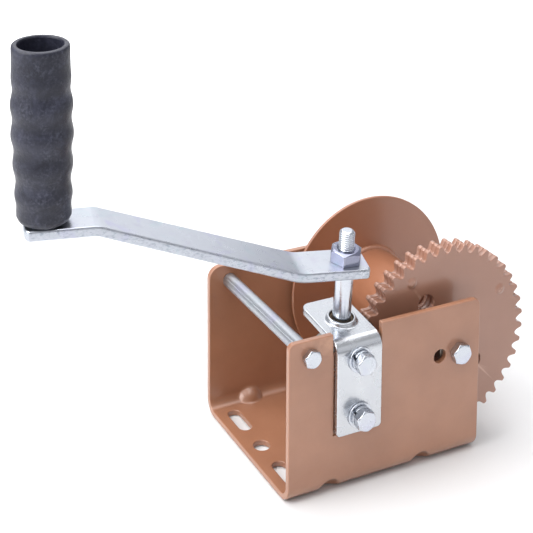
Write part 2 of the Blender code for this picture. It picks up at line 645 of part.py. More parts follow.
def build_gear():
    plate = gear_plate_mesh()
    for i, name in enumerate(PLATE_NAMES):
        mesh = plate.copy()
        mesh.name = name
        mesh.materials.clear()
        mesh.materials.append(material(name, "paint"))
        link(name, mesh, drum_axis, at(0, GEAR_Y0 + i * (PLATE_T + GAP), 0))
    bpy.data.meshes.remove(plate)


# ---------------------------------------------------------------- drum
CORE_R, CORE_WALL = 26.5, 3.2
FAR_BUSH_R, FAR_BUSH_L = 13.0, 9.0     # wider part, on the -Y side of the far flange


def build_drum():
    flange_end = FLANGE_Y + FLANGE_T
    make("drum_core", tube(CORE_R, CORE_R - CORE_WALL, GEAR_Y1 + GAP, FLANGE_Y - GAP, 56),
         material("drum_core", "paint"), drum_axis, TO_PLUS_Y)
    make("drum_flange_far", tube(FLANGE_R, BORE_R, FLANGE_Y, flange_end, 96),
         material("drum_flange", "paint"), drum_axis, TO_PLUS_Y)
    inner, outer = SLEEVE_R + RUN, BORE_R - GAP
    make("drum_bush_near",
         tube(outer, inner, GEAR_Y0 - BUSH_PROUD_NEAR, GEAR_Y1 + BUSH_PROUD_NEAR, 32),
         material("drum_bush_near", "bronze"), drum_axis, TO_PLUS_Y)
    start, end = FLANGE_Y - FAR_BUSH_L, flange_end + BUSH_PROUD_FAR
    profile = [(inner, start), (FAR_BUSH_R, start), (FAR_BUSH_R, FLANGE_Y - GAP),
               (outer, FLANGE_Y - GAP), (outer, end), (inner, end)]
    make("drum_bush_far", turned(profile, 32, True), material("drum_bush_far", "bronze"),
         drum_axis, TO_PLUS_Y)


# ---------------------------------------------------------------- worm
# Left-handed single thread; its crest line is height = crest - lead * phi / 2 pi, phi from +X.
WORM_TIP_R, WORM_CORE_R, HUB_R = 17.2, 12.4, 11.0
WORM_CORE_H, COIL_H = 19.6, 14.6       # half heights of the core and the thread
THREAD_T = GEAR_PITCH - GEAR_TOOTH_T - 0.7     # axial thickness at the pitch radius
THREAD_FLANK = math.radians(20.0)


def pin_hole():
    return rod_between((-20, 0, PIN_HEIGHT), (20, 0, PIN_HEIGHT), PIN_R + GAP, 18)


def crest_height():
    """Crest height at phi = 0: half a lead above the gear tooth nearest the worm."""
    tooth = GEAR_PHASE + round((PI - GEAR_PHASE) / GEAR_STEP) * GEAR_STEP
    return GEAR_PITCH_R * math.sin(tooth) / math.cos(LEAD) + WORM_LEAD / 2


def worm_coil(per_turn=22):
    """Thread as a row of cross-sections, fading into the core at both ends."""
    def half_width(r):
        return THREAD_T / 2 - (r - WORM_PITCH_R) * math.tan(THREAD_FLANK)
    crest = crest_height()
    n = int(per_turn * 2 * COIL_H / WORM_LEAD)
    phi_start = (crest - COIL_H) * 2 * PI / WORM_LEAD     # starts at height COIL_H
    root_r = WORM_CORE_R - 1.2
    faded_r = WORM_CORE_R + 0.35
    sections = []
    for i in range(n + 1):
        phi = phi_start + 2 * PI * i / per_turn
        height = crest - WORM_LEAD * phi / (2 * PI)
        fade = min(1.0, min(i, n - i) / (per_turn / 6.0))
        tip_r = faded_r + (WORM_TIP_R - faded_r) * math.sin(fade * PI / 2)
        root, tip = half_width(root_r), half_width(tip_r)
        profile = [(root_r, -root), (tip_r - 0.3, -tip), (tip_r, -tip + 0.35),
                   (tip_r, tip - 0.35), (tip_r - 0.3, tip), (root_r, root)]
        sections.append([(r * math.cos(phi), r * math.sin(phi), height + z) for r, z in profile])
    return ring_stack(sections)


def build_worm():
    bore_r, edge = SHAFT_R + GAP, 0.8
    profile = [(bore_r, HUB_BOTTOM), (10.4, HUB_BOTTOM), (HUB_R, HUB_BOTTOM + 0.6),
               (HUB_R, -WORM_CORE_H), (WORM_CORE_R - edge, -WORM_CORE_H),
               (WORM_CORE_R, -WORM_CORE_H + edge), (WORM_CORE_R, WORM_CORE_H - edge),
               (WORM_CORE_R - edge, WORM_CORE_H), (10.0, WORM_CORE_H), (10.0, HUB_TOP),
               (bore_r, HUB_TOP)]
    worm = make("worm", turned(profile, 28, True), material("worm", "steel"), crank_axis)
    combine(worm, [worm_coil()], 'UNION')
    combine(worm, [pin_hole()], 'DIFFERENCE')


# ---------------------------------------------------------------- worm shaft and pin
THREAD_CORE_R = 4.35           # threaded end above the arm


def build_shaft():
    profile = [(SHAFT_R - 0.8, SHAFT_BOTTOM), (SHAFT_R, SHAFT_BOTTOM + 0.8),
               (SHAFT_R, SHAFT_SHOULDER - 0.4), (SHAFT_R - 0.4, SHAFT_SHOULDER),
               (STEM_R, SHAFT_SHOULDER), (STEM_R, ARM_HEIGHT + 0.3),
               (THREAD_CORE_R, ARM_HEIGHT + 0.9), (THREAD_CORE_R, SHAFT_TOP - 1.6),
               (THREAD_CORE_R - 1.0, SHAFT_TOP)]
    shaft = make("worm_shaft", turned(profile, 28), material("shaft", "zinc"), crank_axis)
    cuts = [pin_hole()]
    for side in (-1, 1):       # flats on the stem
        flat = [(-8, side * STEM_FLAT), (8, side * STEM_FLAT), (8, side * 8), (-8, side * 8)]
        cuts.append(moved(prism(flat, 'z', SHAFT_SHOULDER - 0.001, ARM_HEIGHT + 1.2), arm_turn))
    combine(shaft, cuts, 'DIFFERENCE')
    make("worm_pin", turned([(2.1, -10.6), (PIN_R, -10.2), (PIN_R, 10.2), (2.1, 10.6)], 18),
         material("worm_pin", "steel"), crank_axis,
         at(0, 0, PIN_HEIGHT, Matrix.Rotation(PI / 2, 4, 'Y')))


# ---------------------------------------------------------------- crank arm
INNER_BEND_R, OUTER_BEND_R = 24.0, 17.8        # of the top face
BEND_STEPS, TWIST_STEPS = 6, 6
# end corners: side along the arm's Y (+1 faces world -Y), radius along X, radius along Y
ARM_INNER_CORNERS = ((1, 2.6, 4.2), (-1, 5.0, 9.0))
ARM_OUTER_CORNERS = ((1, 3.6, 7.0), (-1, 3.6, 7.0))
CRANK_NUT_BORE_R, CRANK_NUT_AF, CRANK_NUT_H = 5.25, 19.0, 8.8


def arm_stations():
    """(point on the top face's centre line, slope, share of the twist), end to end."""
    slope = math.atan2(ARM_RISE, ARM_OUTER_X - ARM_INNER_X)
    inner = []
    centre = Vector((ARM_INNER_X - INNER_BEND_R * math.tan(slope / 2), 0, INNER_BEND_R))
    for i in range(BEND_STEPS + 1):            # inner bend, turning up
        t = slope * (i / BEND_STEPS)
        inner.append((centre + Vector((math.sin(t), 0, -math.cos(t))) * INNER_BEND_R, t, 0.0))
    outer = []
    turn = slope - GRIP_PITCH
    along = Vector((math.cos(slope), 0, math.sin(slope)))
    normal = Vector((-math.sin(slope), 0, math.cos(slope)))
    centre = (outer_corner - along * (OUTER_BEND_R * math.tan(turn / 2))
              - normal * OUTER_BEND_R)
    for i in range(BEND_STEPS + 1):            # outer bend, turning down to the grip's pitch
        t = slope - turn * (i / BEND_STEPS)
        outer.append((centre + Vector((-math.sin(t), 0, math.cos(t))) * OUTER_BEND_R, t, 1.0))
    shares = [k / TWIST_STEPS for k in range(1, TWIST_STEPS)]
    # the straight part carries the twist evenly
    straight = [(inner[-1][0].lerp(outer[0][0], f), slope, f) for f in shares]
    start = (Vector((-ARM_INNER_END, 0, 0)), 0.0, 0.0)
    end = (outer_corner + outer_dir * (GRIP_REACH + ARM_OUTER_END), GRIP_PITCH, 1.0)
    return [start] + inner + straight + outer + [end]


def arm_solid():
    rings = []
    for p, slope, share in arm_stations():
        turn = Matrix.Rotation(-slope, 3, 'Y') @ Matrix.Rotation(GRIP_TWIST * share, 3, 'X')
        side = turn @ Vector((0, 1, 0)) * (ARM_W / 2)
        down = turn @ Vector((0, 0, 1)) * -ARM_T
        rings.append([tuple(q) for q in (p + side, p - side, p - side + down, p + side + down)])
    return ring_stack(rings)


def build_arm():
    arm = make("crank_arm", arm_solid(), material("crank_arm", "zinc"), crank_axis,
               at(0, 0, ARM_HEIGHT, arm_turn))
    through = (-ARM_T - PAST, PAST)
    cuts = []
    for side, rx, ry in ARM_INNER_CORNERS:
        waste = corner_waste(-ARM_INNER_END, side * ARM_W / 2, -1, side, rx, ry)
        cuts.append(prism(waste, 'z', *through))
    for side, rx, ry in ARM_OUTER_CORNERS:
        waste = corner_waste(ARM_OUTER_END, side * ARM_W / 2, 1, side, rx, ry)
        cuts.append(moved(prism(waste, 'z', *through), grip_in_arm))
    # double-D hole for the stem, round hole for the grip spindle
    flat = STEM_FLAT + GAP
    keyed = [(x, max(-flat, min(flat, y))) for x, y in circle(STEM_R + GAP, 32)]
    cuts.append(prism(keyed, 'z', *through))
    cuts.append(moved(prism(circle(SPINDLE_R + GAP, 24), 'z', *through), grip_in_arm))
    combine(arm, cuts, 'DIFFERENCE')

    make("crank_nut",
         hex_nut(CRANK_NUT_BORE_R, CRANK_NUT_AF, CRANK_NUT_H, turn=math.radians(29.0), n=36),
         material("crank_nut", "zinc"), crank_axis,
         at(0, 0, ARM_HEIGHT + GAP, Matrix.Rotation(math.radians(-6.0), 4, 'Z')))


# ---------------------------------------------------------------- grip and its spindle
GRIP_L, GRIP_BORE_R, GRIP_Z0 = 113.2, 14.2, 1.4
GRIP_STEP = 6.5                # nominal spacing of the profile points
FINGER_PITCH, FINGER_DEPTH, FINGER_Z = 19.4, 0.75, 18.4    # ring crest at z = FINGER_Z


def grip_radius(z):
    """Barrel-shaped hand grip with shallow rounded finger rings; z from its lower end."""
    barrel = 17.05 + 1.30 * math.exp(-((z - 61.0) / 30.0) ** 2) + 0.85 * z / GRIP_L
    fade_in = min(1.0, max(0.0, (z - 6.0) / 10.0))
    fade_out = min(1.0, max(0.0, (GRIP_L - 14.0 - z) / 14.0))
    wave = math.cos(2 * PI * (z - FINGER_Z + GRIP_Z0) / FINGER_PITCH)
    return barrel + FINGER_DEPTH * fade_in * fade_out * wave


def grip_profile():
    top, top_r = GRIP_Z0 + GRIP_L, grip_radius(GRIP_L)
    floor_z = SPINDLE_COLLAR_Z - GAP           # floor of the wide bore
    points = [(14.6, GRIP_Z0), (15.9, GRIP_Z0 + 0.9), (16.5, GRIP_Z0 + 2.4)]
    n = int((GRIP_L - 8.0) / GRIP_STEP)
    for i in range(n + 1):
        z = 4.5 + (GRIP_L - 8.0) * i / n
        points.append((grip_radius(z), GRIP_Z0 + z))
    return points + [(top_r - 0.45, top - 1.1), (top_r - 1.4, top), (GRIP_BORE_R + 0.5, top),
                     (GRIP_BORE_R, top - 0.7), (GRIP_BORE_R, floor_z),
                     (SPINDLE_R + GAP, floor_z), (SPINDLE_R + GAP, GRIP_Z0)]


def build_grip():
    spindle = [(3.9, -ARM_T + 0.35), (SPINDLE_R, -ARM_T + 1.3), (SPINDLE_R, SPINDLE_COLLAR_Z),
               (9.5, SPINDLE_COLLAR_Z), (9.5, 23.4), (8.3, 24.6), (4.0, 25.2)]
    make("grip_spindle", turned(spindle, 28), material("grip_spindle", "zinc"), grip_axis)
    make("grip_washer", tube(11.0, SPINDLE_R + GAP, 0.2, 1.1, 28),
         material("grip_washer", "zinc"), grip_axis)
    make("grip", turned(grip_profile(), 30, True), material("grip", "plastic"), grip_axis)


build_frame()
build_lower_bearing()
build_bracket()
build_upper_bush()
build_bracket_bolts()
build_tie()
build_axle()
build_gear()
build_drum()
build_worm()
build_shaft()
build_arm()
build_grip()
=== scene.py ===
"""Looks of the hand-cranked worm-gear winch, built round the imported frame.

Everything is modelled in millimetres in the frame's own coordinates and scaled
to metres when the mesh is written.  Sheet parts are laid out flat with rounded
edges and then bent; round parts are turned; threads and the worm are swept.
"""
import bpy
import bmesh
import json
import math
import numpy as np
from mathutils import Vector, Matrix
from mathutils.geometry import delaunay_2d_cdt


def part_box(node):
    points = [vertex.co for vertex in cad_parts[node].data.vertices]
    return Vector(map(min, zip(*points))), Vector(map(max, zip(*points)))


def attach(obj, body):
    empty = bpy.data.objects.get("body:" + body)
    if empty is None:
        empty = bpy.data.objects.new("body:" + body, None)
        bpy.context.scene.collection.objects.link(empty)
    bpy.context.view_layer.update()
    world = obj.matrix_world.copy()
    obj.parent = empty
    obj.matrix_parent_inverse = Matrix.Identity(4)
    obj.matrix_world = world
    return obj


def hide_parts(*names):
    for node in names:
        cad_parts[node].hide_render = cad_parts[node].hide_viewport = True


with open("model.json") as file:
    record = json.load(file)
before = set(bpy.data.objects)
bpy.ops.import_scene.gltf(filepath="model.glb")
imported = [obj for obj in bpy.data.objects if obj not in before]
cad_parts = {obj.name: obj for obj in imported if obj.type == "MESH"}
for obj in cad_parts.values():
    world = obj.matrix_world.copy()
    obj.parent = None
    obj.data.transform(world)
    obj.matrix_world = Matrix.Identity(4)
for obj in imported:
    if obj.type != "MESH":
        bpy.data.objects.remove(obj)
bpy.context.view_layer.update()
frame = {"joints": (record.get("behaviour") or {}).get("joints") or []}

MM = 0.001
PI = math.pi
JOINT = {j["name"]: j for j in frame["joints"]}


def node_box(name):
    lo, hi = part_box(name)
    return lo / MM, hi / MM


# ---------------------------------------------------------------- dimensions (mm)
_f0, _f1 = node_box("frame_channel")
FR_L, FR_W, FR_H, FR_T, FR_BEND = _f1.x - _f0.x, _f1.y - _f0.y, _f1.z - _f0.z, 4.0, 11.0
FR_R_NEAR_L, FR_R_NEAR_R, FR_R_FAR = 4.5, 5.0, 9.0
Y_NEAR, Y_FAR = -FR_W / 2, FR_W / 2
SLOT_L, SLOT_W, SLOT_X, SLOT_Y, BASE_HOLE_D = 25.6, 9.6, 61.3, 33.0, 11.5
DART_X, DART_DOME, DART_DENT = (-42.0, 29.0), (0.6, 9.0, 6.6, 8.6), (-2.8, 7.5, 5.4, 10.0)
SPARE_HOLE_D, SPARE_HOLE_X, SPARE_HOLE_Z = 9.5, 41.8, 75.4
NOTCH_X0, NOTCH_X1, NOTCH_Z = -41.4, -4.9, 96.2
RECESS_X1, RECESS_Z, RECESS_D = -6.1, 39.9, 1.0
DRUM_X, DRUM_Z = JOINT["drum_spin"]["pos_m"][0] / MM, JOINT["drum_spin"]["pos_m"][2] / MM
GEAR_N, GEAR_TIP_R, GEAR_ROOT_R = 41, 67.5, 62.1
GEAR_PITCH = 2 * PI * GEAR_TIP_R / (GEAR_N + 2)
GEAR_PITCH_R = GEAR_PITCH * GEAR_N / (2 * PI)
GEAR_TOOTH_S, GEAR_FLANK, GEAR_PHASE = 4.5, math.radians(21.0), math.radians(145.65)
GEAR_Y0 = -43.0
BORE_R = 10.3
LIGHT_HOLE_D, LIGHT_HOLE_R, LIGHT_HOLE_A = 12.6, 33.0, (117.0, -40.0)
BUMP_D, BUMP_R, BUMP_A, BUMP_H = 7.0, 54.0, (30.0, 120.0, 210.0), 1.3
CORE_R, CORE_WALL = 26.5, 3.2
FLANGE_R, FLANGE_T, FLANGE_Y = 66.2, 2.5, 49.8
AXLE_D, AXLE_AF, AXLE_K, SLEEVE_R = 7.94, 13.2, 5.3, 7.0
TIE_X, TIE_Z, TIE_D, TIE_AF, TIE_K, TIE_TUBE_R = -58.2, 98.5, 6.35, 11.1, 4.1, 5.2
WORM_X = JOINT["crank_turn"]["pos_m"][0] / MM
WORM_RP = DRUM_X - GEAR_PITCH_R - WORM_X
LEAD = math.asin(GEAR_PITCH / (2 * PI * WORM_RP))
WORM_LEAD_MM = GEAR_PITCH / math.cos(LEAD)
WORM_P0 = Vector(JOINT["crank_turn"]["pos_m"]) / MM
WORM_OR, WORM_CORE_R = 17.2, 12.4
WORM_THREAD_S = GEAR_PITCH - GEAR_TOOTH_S - 0.7
SHAFT_R, SHAFT_H0, SHAFT_H1, SHAFT_TOP = 6.15, -67.4, 67.9, 96.4
STEM_R, STEM_FLAT = 5.15, 4.3
THREAD_R, THREAD_MIN, THREAD_P = 5.12, 4.35, 1.5
BR_X0, BR_X1, BR_T, BR_Y, BR_Z0 = -40.6, -6.8, 4.8, -64.0, 40.6
BR_TOP_H, BR_LEN, BR_BEND = 31.2, 49.8, 9.0
BR_BOLT_X, BR_BOLT_Z = -23.9, (53.0, 91.3)
COLLAR_R, COLLAR_RI, COLLAR_H = 10.1, 8.0, 3.0
ARM_W, ARM_T, ARM_H = 27.4, 6.8, 75.0
ARM_PHI = math.radians(14.0)
ARM_K2, ARM_K1, ARM_RISE, ARM_IN, ARM_OUT, GRIP_ARM = 32.6, 164.3, 42.1, 13.5, 13.2, 32.6
GRIP_PITCH, GRIP_TWIST = math.radians(-1.65), math.radians(2.5)
GRIP_LEN, GRIP_BORE_R, GRIP_Z0 = 113.2, 14.2, 1.4

tilt = Matrix.Rotation(LEAD, 4, 'X')
crank_M = Matrix.Translation(WORM_P0) @ tilt
drum_M = Matrix.Translation((DRUM_X, 0, DRUM_Z))
_h = tilt.inverted().to_3x3() @ Vector((-math.cos(ARM_PHI), math.sin(ARM_PHI), 0))
arm_local = Matrix.Rotation(math.atan2(_h.y, _h.x), 4, 'Z')
outer_R = Matrix.Rotation(-GRIP_PITCH, 4, 'Y') @ Matrix.Rotation(GRIP_TWIST, 4, 'X')
_d2 = outer_R.to_3x3() @ Vector((1, 0, 0))
grip_local = Matrix.Translation(Vector((ARM_K1, 0, ARM_RISE)) + _d2 * GRIP_ARM) @ outer_R
arm_frame = Matrix.Translation((0, 0, ARM_H)) @ arm_local
arm_M = crank_M @ arm_frame
grip_M = arm_M @ grip_local
TO_PLUS_Y = Matrix.Rotation(-PI / 2, 4, 'X')
TO_MINUS_Y = Matrix.Rotation(PI / 2, 4, 'X')


def T(x, y, z):
    return Matrix.Translation((x, y, z))


# ---------------------------------------------------------------- materials
class Nodes:
    """Small wrapper for building a node tree."""

    def __init__(self, name):
        self.mat = bpy.data.materials.new(name)
        self.mat.use_nodes = True
        self.nt = self.mat.node_tree
        self.bsdf = self.nt.nodes["Principled BSDF"]
        self.coord = self.nt.nodes.new("ShaderNodeTexCoord").outputs["Object"]

    def link(self, a, b):
        self.nt.links.new(a, b)

    def map(self, scale, rot=(0, 0, 0)):
        n = self.nt.nodes.new("ShaderNodeMapping")
        n.inputs["Scale"].default_value = scale
        n.inputs["Rotation"].default_value = rot
        self.link(self.coord, n.inputs["Vector"])
        return n.outputs["Vector"]

    def noise(self, scale, detail=3.0, rough=0.5, vec=None, dist=0.0):
        n = self.nt.nodes.new("ShaderNodeTexNoise")
        n.inputs["Scale"].default_value = scale
        n.inputs["Detail"].default_value = detail
        n.inputs["Roughness"].default_value = rough
        n.inputs["Distortion"].default_value = dist
        self.link(vec or self.coord, n.inputs["Vector"])
        return n.outputs["Fac"]

    def voronoi(self, scale, out="Color", vec=None):
        n = self.nt.nodes.new("ShaderNodeTexVoronoi")
        n.inputs["Scale"].default_value = scale
        self.link(vec or self.coord, n.inputs["Vector"])
        return n.outputs[out]

    def ramp(self, fac, stops):
        n = self.nt.nodes.new("ShaderNodeValToRGB")
        el = n.color_ramp.elements
        while len(el) < len(stops):
            el.new(0.5)
        for e, (p, c) in zip(el, stops):
            e.position = p
            e.color = (*c, 1.0) if len(c) == 3 else c
        self.link(fac, n.inputs["Fac"])
        return n.outputs["Color"]

    def mix(self, a, b, fac, mode='MIX'):
        n = self.nt.nodes.new("ShaderNodeMix")
        n.data_type = 'RGBA'
        n.blend_type = mode
        for sock, v in ((n.inputs[0], fac), (n.inputs[6], a), (n.inputs[7], b)):
            if isinstance(v, (int, float)):
                sock.default_value = v
            elif isinstance(v, tuple):
                sock.default_value = (*v, 1.0)
            else:
                self.link(v, sock)
        return n.outputs[2]

    def math(self, op, a, b=0.0, c=0.0, clamp=False):
        n = self.nt.nodes.new("ShaderNodeMath")
        n.operation = op
        n.use_clamp = clamp
        for sock, v in zip(n.inputs, (a, b, c)):
            if isinstance(v, (int, float)):
                sock.default_value = v
            else:
                self.link(v, sock)
        return n.outputs[0]

    def range(self, v, a, b, c, d):
        n = self.nt.nodes.new("ShaderNodeMapRange")
        for i, x in enumerate((a, b, c, d)):
            n.inputs[i + 1].default_value = x
        self.link(v, n.inputs[0])
        return n.outputs[0]

    def bump(self, height, strength, dist, normal=None):
        n = self.nt.nodes.new("ShaderNodeBump")
        n.inputs["Strength"].default_value = strength
        n.inputs["Distance"].default_value = dist
        self.link(height, n.inputs["Height"])
        if normal is not None:
            self.link(normal, n.inputs["Normal"])
        return n.outputs["Normal"]

    def set(self, **kw):
        for k, v in kw.items():
            s = self.bsdf.inputs[k.replace("_", " ")]
            if isinstance(v, (int, float)):
                s.default_value = v
            elif isinstance(v, tuple):
                s.default_value = (*v, 1.0)
            else:
                self.link(v, s)
        return self.mat


def paint_material(name, dark=(0.279, 0.1165, 0.059), light=(0.437, 0.2075, 0.120), edge=(0.62, 0.34, 0.21)):
    """Satin copper-brown enamel: slight cloudiness, fine flake, orange peel, a painted highlight on convex edges and
    painted shade in creases.
    """
    n = Nodes(name)
    cloud = n.noise(22.0, 4.0, 0.55)
    col = n.ramp(cloud, [(0.12, dark), (0.88, light)])
    flake = n.voronoi(2600.0)
    flake_bw = n.math('MULTIPLY_ADD', flake, 0.12, 0.94)
    col = n.mix(col, flake_bw, 0.25, 'MULTIPLY')
    geo = n.nt.nodes.new("ShaderNodeNewGeometry")
    # painted highlight: convex edges (high pointiness) are lightened toward the edge colour, broken up by noise
    edge_highlight_mask = n.range(geo.outputs["Pointiness"], 0.535, 0.62, 0.0, 0.55)
    wob = n.range(n.noise(160.0, 3.0, 0.6), 0.35, 0.65, 0.35, 1.0)
    col = n.mix(col, edge, n.math('MULTIPLY', edge_highlight_mask, wob, clamp=True))
    # painted shade: concave creases (low pointiness) are darkened toward a deep brown
    crevice_shade = n.range(geo.outputs["Pointiness"], 0.46, 0.36, 0.0, 0.50)
    col = n.mix(col, (0.10, 0.038, 0.020), crevice_shade)
    rough = n.range(n.noise(75.0, 3.0, 0.6), 0.1, 0.9, 0.28, 0.37)
    peel = n.bump(n.noise(420.0, 2.0, 0.5), 0.09, 0.00025)
    fine = n.bump(n.noise(1900.0, 2.0, 0.55), 0.05, 0.00008, peel)
    return n.set(Base_Color=col, Roughness=rough, Metallic=0.10, Normal=fine, Specular_IOR_Level=0.80, Coat_Weight=0.50,
                 Coat_Roughness=0.13)


def zinc_material(name, tint=1.0, rough=0.25, base=(0.62, 0.65, 0.71), lines=None, spots=0.22, cut_edge=False):
    """Bright zinc plate: blue-white with faint violet and teal passivation tints and fine handling marks."""
    n = Nodes(name)
    a = n.noise(48.0, 3.0, 0.55, dist=0.6)
    b = n.noise(95.0, 2.0, 0.5)
    violet = (base[0] * 0.90, base[1] * 0.86, base[2] * 1.02)
    teal = (base[0] * 0.86, base[1] * 0.99, base[2] * 0.97)
    col = n.ramp(a, [(0.30, violet), (0.46, base), (0.58, base), (0.74, teal)])
    col = n.mix(base, col, 0.8 * tint)
    col = n.mix(col, (base[0] * 0.80, base[1] * 0.72, base[2] * 0.84), n.math('MULTIPLY', n.range(b, 0.58, 0.80, 0.0, 0.40), tint))
    spot = n.range(n.noise(900.0, 2.0, 0.6), 0.62, 0.80, 0.0, spots)
    col = n.mix(col, (base[0] * 0.62, base[1] * 0.62, base[2] * 0.64), spot)
    geo = n.nt.nodes.new("ShaderNodeNewGeometry")
    # painted shade: concave creases (low pointiness) are darkened toward a dark grey-blue
    crevice_shade = n.range(geo.outputs["Pointiness"], 0.485, 0.40, 0.0, 0.45)
    col = n.mix(col, (0.16, 0.17, 0.20), crevice_shade)
    # painted highlight: convex edges (high pointiness) are lightened toward near-white
    rim_highlight = n.range(geo.outputs["Pointiness"], 0.52, 0.62, 0.0, 0.30)
    col = n.mix(col, (0.86, 0.87, 0.90), rim_highlight)
    r = n.range(n.noise(130.0, 4.0, 0.6), 0.3, 0.7, rough - 0.05, rough + 0.07)
    micro = n.bump(n.noise(650.0, 3.0, 0.55), 0.06, 0.00008)
    if lines and cut_edge:
        # sheared side faces of the flat bar: broken grey-blue tear marks along the bar
        tc = n.nt.nodes.new("ShaderNodeTexCoord")
        ns = n.nt.nodes.new("ShaderNodeSeparateXYZ")
        n.link(tc.outputs["Normal"], ns.inputs[0])
        side = n.range(n.math('ABSOLUTE', ns.outputs["Y"]), 0.82, 0.96, 0.0, 1.0)
        tear = n.range(n.noise(1.0, 4.0, 0.65, n.map((330.0, 1.0, 620.0))), 0.50, 0.66, 0.0, 0.62)
        col = n.mix(col, (0.17, 0.21, 0.27), n.math('MULTIPLY', side, tear))
    if lines:
        streak = n.noise(1.0, 3.0, 0.6, n.map(lines))
        micro = n.bump(streak, 0.12, 0.00006, micro)
        r = n.math('ADD', r, n.range(streak, 0.3, 0.7, -0.03, 0.05))
    return n.set(Base_Color=col, Roughness=r, Metallic=1.0, Normal=micro)


# painted shade: the default steel colour is darkened so the steel parts seen through the frame's holes and gaps look
# shaded
def steel_material(name, base=(0.36, 0.34, 0.31)):
    n = Nodes(name)
    a = n.noise(60.0, 4.0, 0.6)
    col = n.ramp(a, [(0.3, tuple(0.8 * x for x in base)), (0.7, base)])
    oil = n.range(n.noise(24.0, 3.0, 0.5), 0.5, 0.7, 0.0, 0.4)
    col = n.mix(col, (0.20, 0.16, 0.12), oil)
    r = n.range(n.noise(220.0, 3.0, 0.6), 0.3, 0.7, 0.26, 0.42)
    return n.set(Base_Color=col, Roughness=r, Metallic=1.0, Normal=n.bump(n.noise(800.0, 3.0, 0.6), 0.12, 0.0001))


def bronze_material(name):
    n = Nodes(name)
    a = n.noise(90.0, 4.0, 0.6)
    # painted shade: the bronze colours are kept very dark so the bushes read as the shaded gap round the shaft
    col = n.ramp(a, [(0.3, (0.060, 0.042, 0.028)), (0.7, (0.13, 0.092, 0.058))])
    pores = n.range(n.voronoi(1500.0, "Distance"), 0.05, 0.25, 0.0, 1.0)
    col = n.mix((0.05, 0.03, 0.02), col, pores)
    return n.set(Base_Color=col, Roughness=0.5, Metallic=0.85, Normal=n.bump(pores, 0.2, 0.0001))


def plastic_material(name):
    """Moulded black grip: blue-black mottled skin with fine pitting, pale scuffs and faint flow streaks."""
    n = Nodes(name)
    a = n.noise(58.0, 5.0, 0.70, dist=1.0)
    col = n.ramp(a, [(0.28, (0.008, 0.0083, 0.016)), (0.52, (0.017, 0.0178, 0.030)), (0.76, (0.040, 0.042, 0.068))])
    fleck = n.range(n.noise(560.0, 4.0, 0.65), 0.46, 0.66, 0.0, 0.70)
    patch = n.range(n.noise(95.0, 3.0, 0.6, dist=0.6), 0.42, 0.66, 0.15, 1.0)
    col = n.mix(col, (0.075, 0.079, 0.112), n.math('MULTIPLY', fleck, patch))
    streak = n.noise(1.0, 3.0, 0.6, n.map((900.0, 900.0, 60.0)))
    col = n.mix(col, (0.010, 0.011, 0.015), n.range(streak, 0.52, 0.78, 0.0, 0.5))
    r = n.range(n.noise(180.0, 4.0, 0.6), 0.3, 0.7, 0.28, 0.48)
    pit = n.bump(n.noise(1500.0, 3.0, 0.6), 0.45, 0.00014)
    grain = n.bump(n.noise(640.0, 3.0, 0.60), 0.55, 0.00030, pit)
    wave = n.bump(n.noise(210.0, 4.0, 0.6), 0.42, 0.00045, grain)
    return n.set(Base_Color=col, Roughness=r, Metallic=0.0, Normal=wave, Specular_IOR_Level=0.39)


# the last colour given to each paint is the colour of its painted edge highlight
paint_frame = paint_material("paint_frame")
paint_drum = paint_material("paint_drum", (0.285, 0.112, 0.056), (0.375, 0.158, 0.084), (0.60, 0.33, 0.20))
paint_gear = paint_material("paint_gear", (0.305, 0.148, 0.096), (0.395, 0.200, 0.136), (0.64, 0.41, 0.30))
zinc_sheet = zinc_material("zinc_sheet", 0.12, 0.24, (0.575, 0.595, 0.625), None, 0.0)
zinc_bar = zinc_material("zinc_bar", 1.0, 0.30, (0.50, 0.525, 0.575), (30.0, 2200.0, 2200.0), 0.22, True)
zinc_bolt = zinc_material("zinc_bolt", 0.5, 0.24, (0.60, 0.63, 0.68), None, 0.06)
zinc_rod = zinc_material("zinc_rod", 0.7, 0.20, (0.60, 0.63, 0.68), (120.0, 120.0, 2600.0))
zinc_tube = zinc_material("zinc_tube", 0.9, 0.36, (0.43, 0.45, 0.48), (1500.0, 40.0, 1500.0))
zinc_nut = zinc_material("zinc_nut", 1.0, 0.20, (0.27, 0.28, 0.36))
steel_turned = steel_material("steel_turned")
bronze = bronze_material("sintered_bronze")
plastic = plastic_material("grip_plastic")


# ---------------------------------------------------------------- mesh helpers
def piece(name, bm, mat, body, nodes=(), M=None, sharp=38.0, weighted=True):
    """bmesh in mm -> finished piece on its body, standing for the given CAD nodes."""
    if M is not None:
        bmesh.ops.transform(bm, matrix=M, verts=bm.verts)
    bmesh.ops.scale(bm, vec=(MM, MM, MM), verts=bm.verts)
    bmesh.ops.recalc_face_normals(bm, faces=bm.faces)
    me = bpy.data.meshes.new(name)
    bm.to_mesh(me)
    bm.free()
    ob = bpy.data.objects.new(name, me)
    bpy.context.scene.collection.objects.link(ob)
    me.materials.append(mat)
    me.shade_smooth()
    me.set_sharp_from_angle(angle=math.radians(sharp))
    if weighted:
        w = ob.modifiers.new("normals", 'WEIGHTED_NORMAL')
        w.keep_sharp = True
        w.use_face_influence = "__mod_weightednormals_faceweight" in me.attributes
        w.weight = 60
    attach(ob, body)
    if nodes:
        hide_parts(*nodes)
    return ob


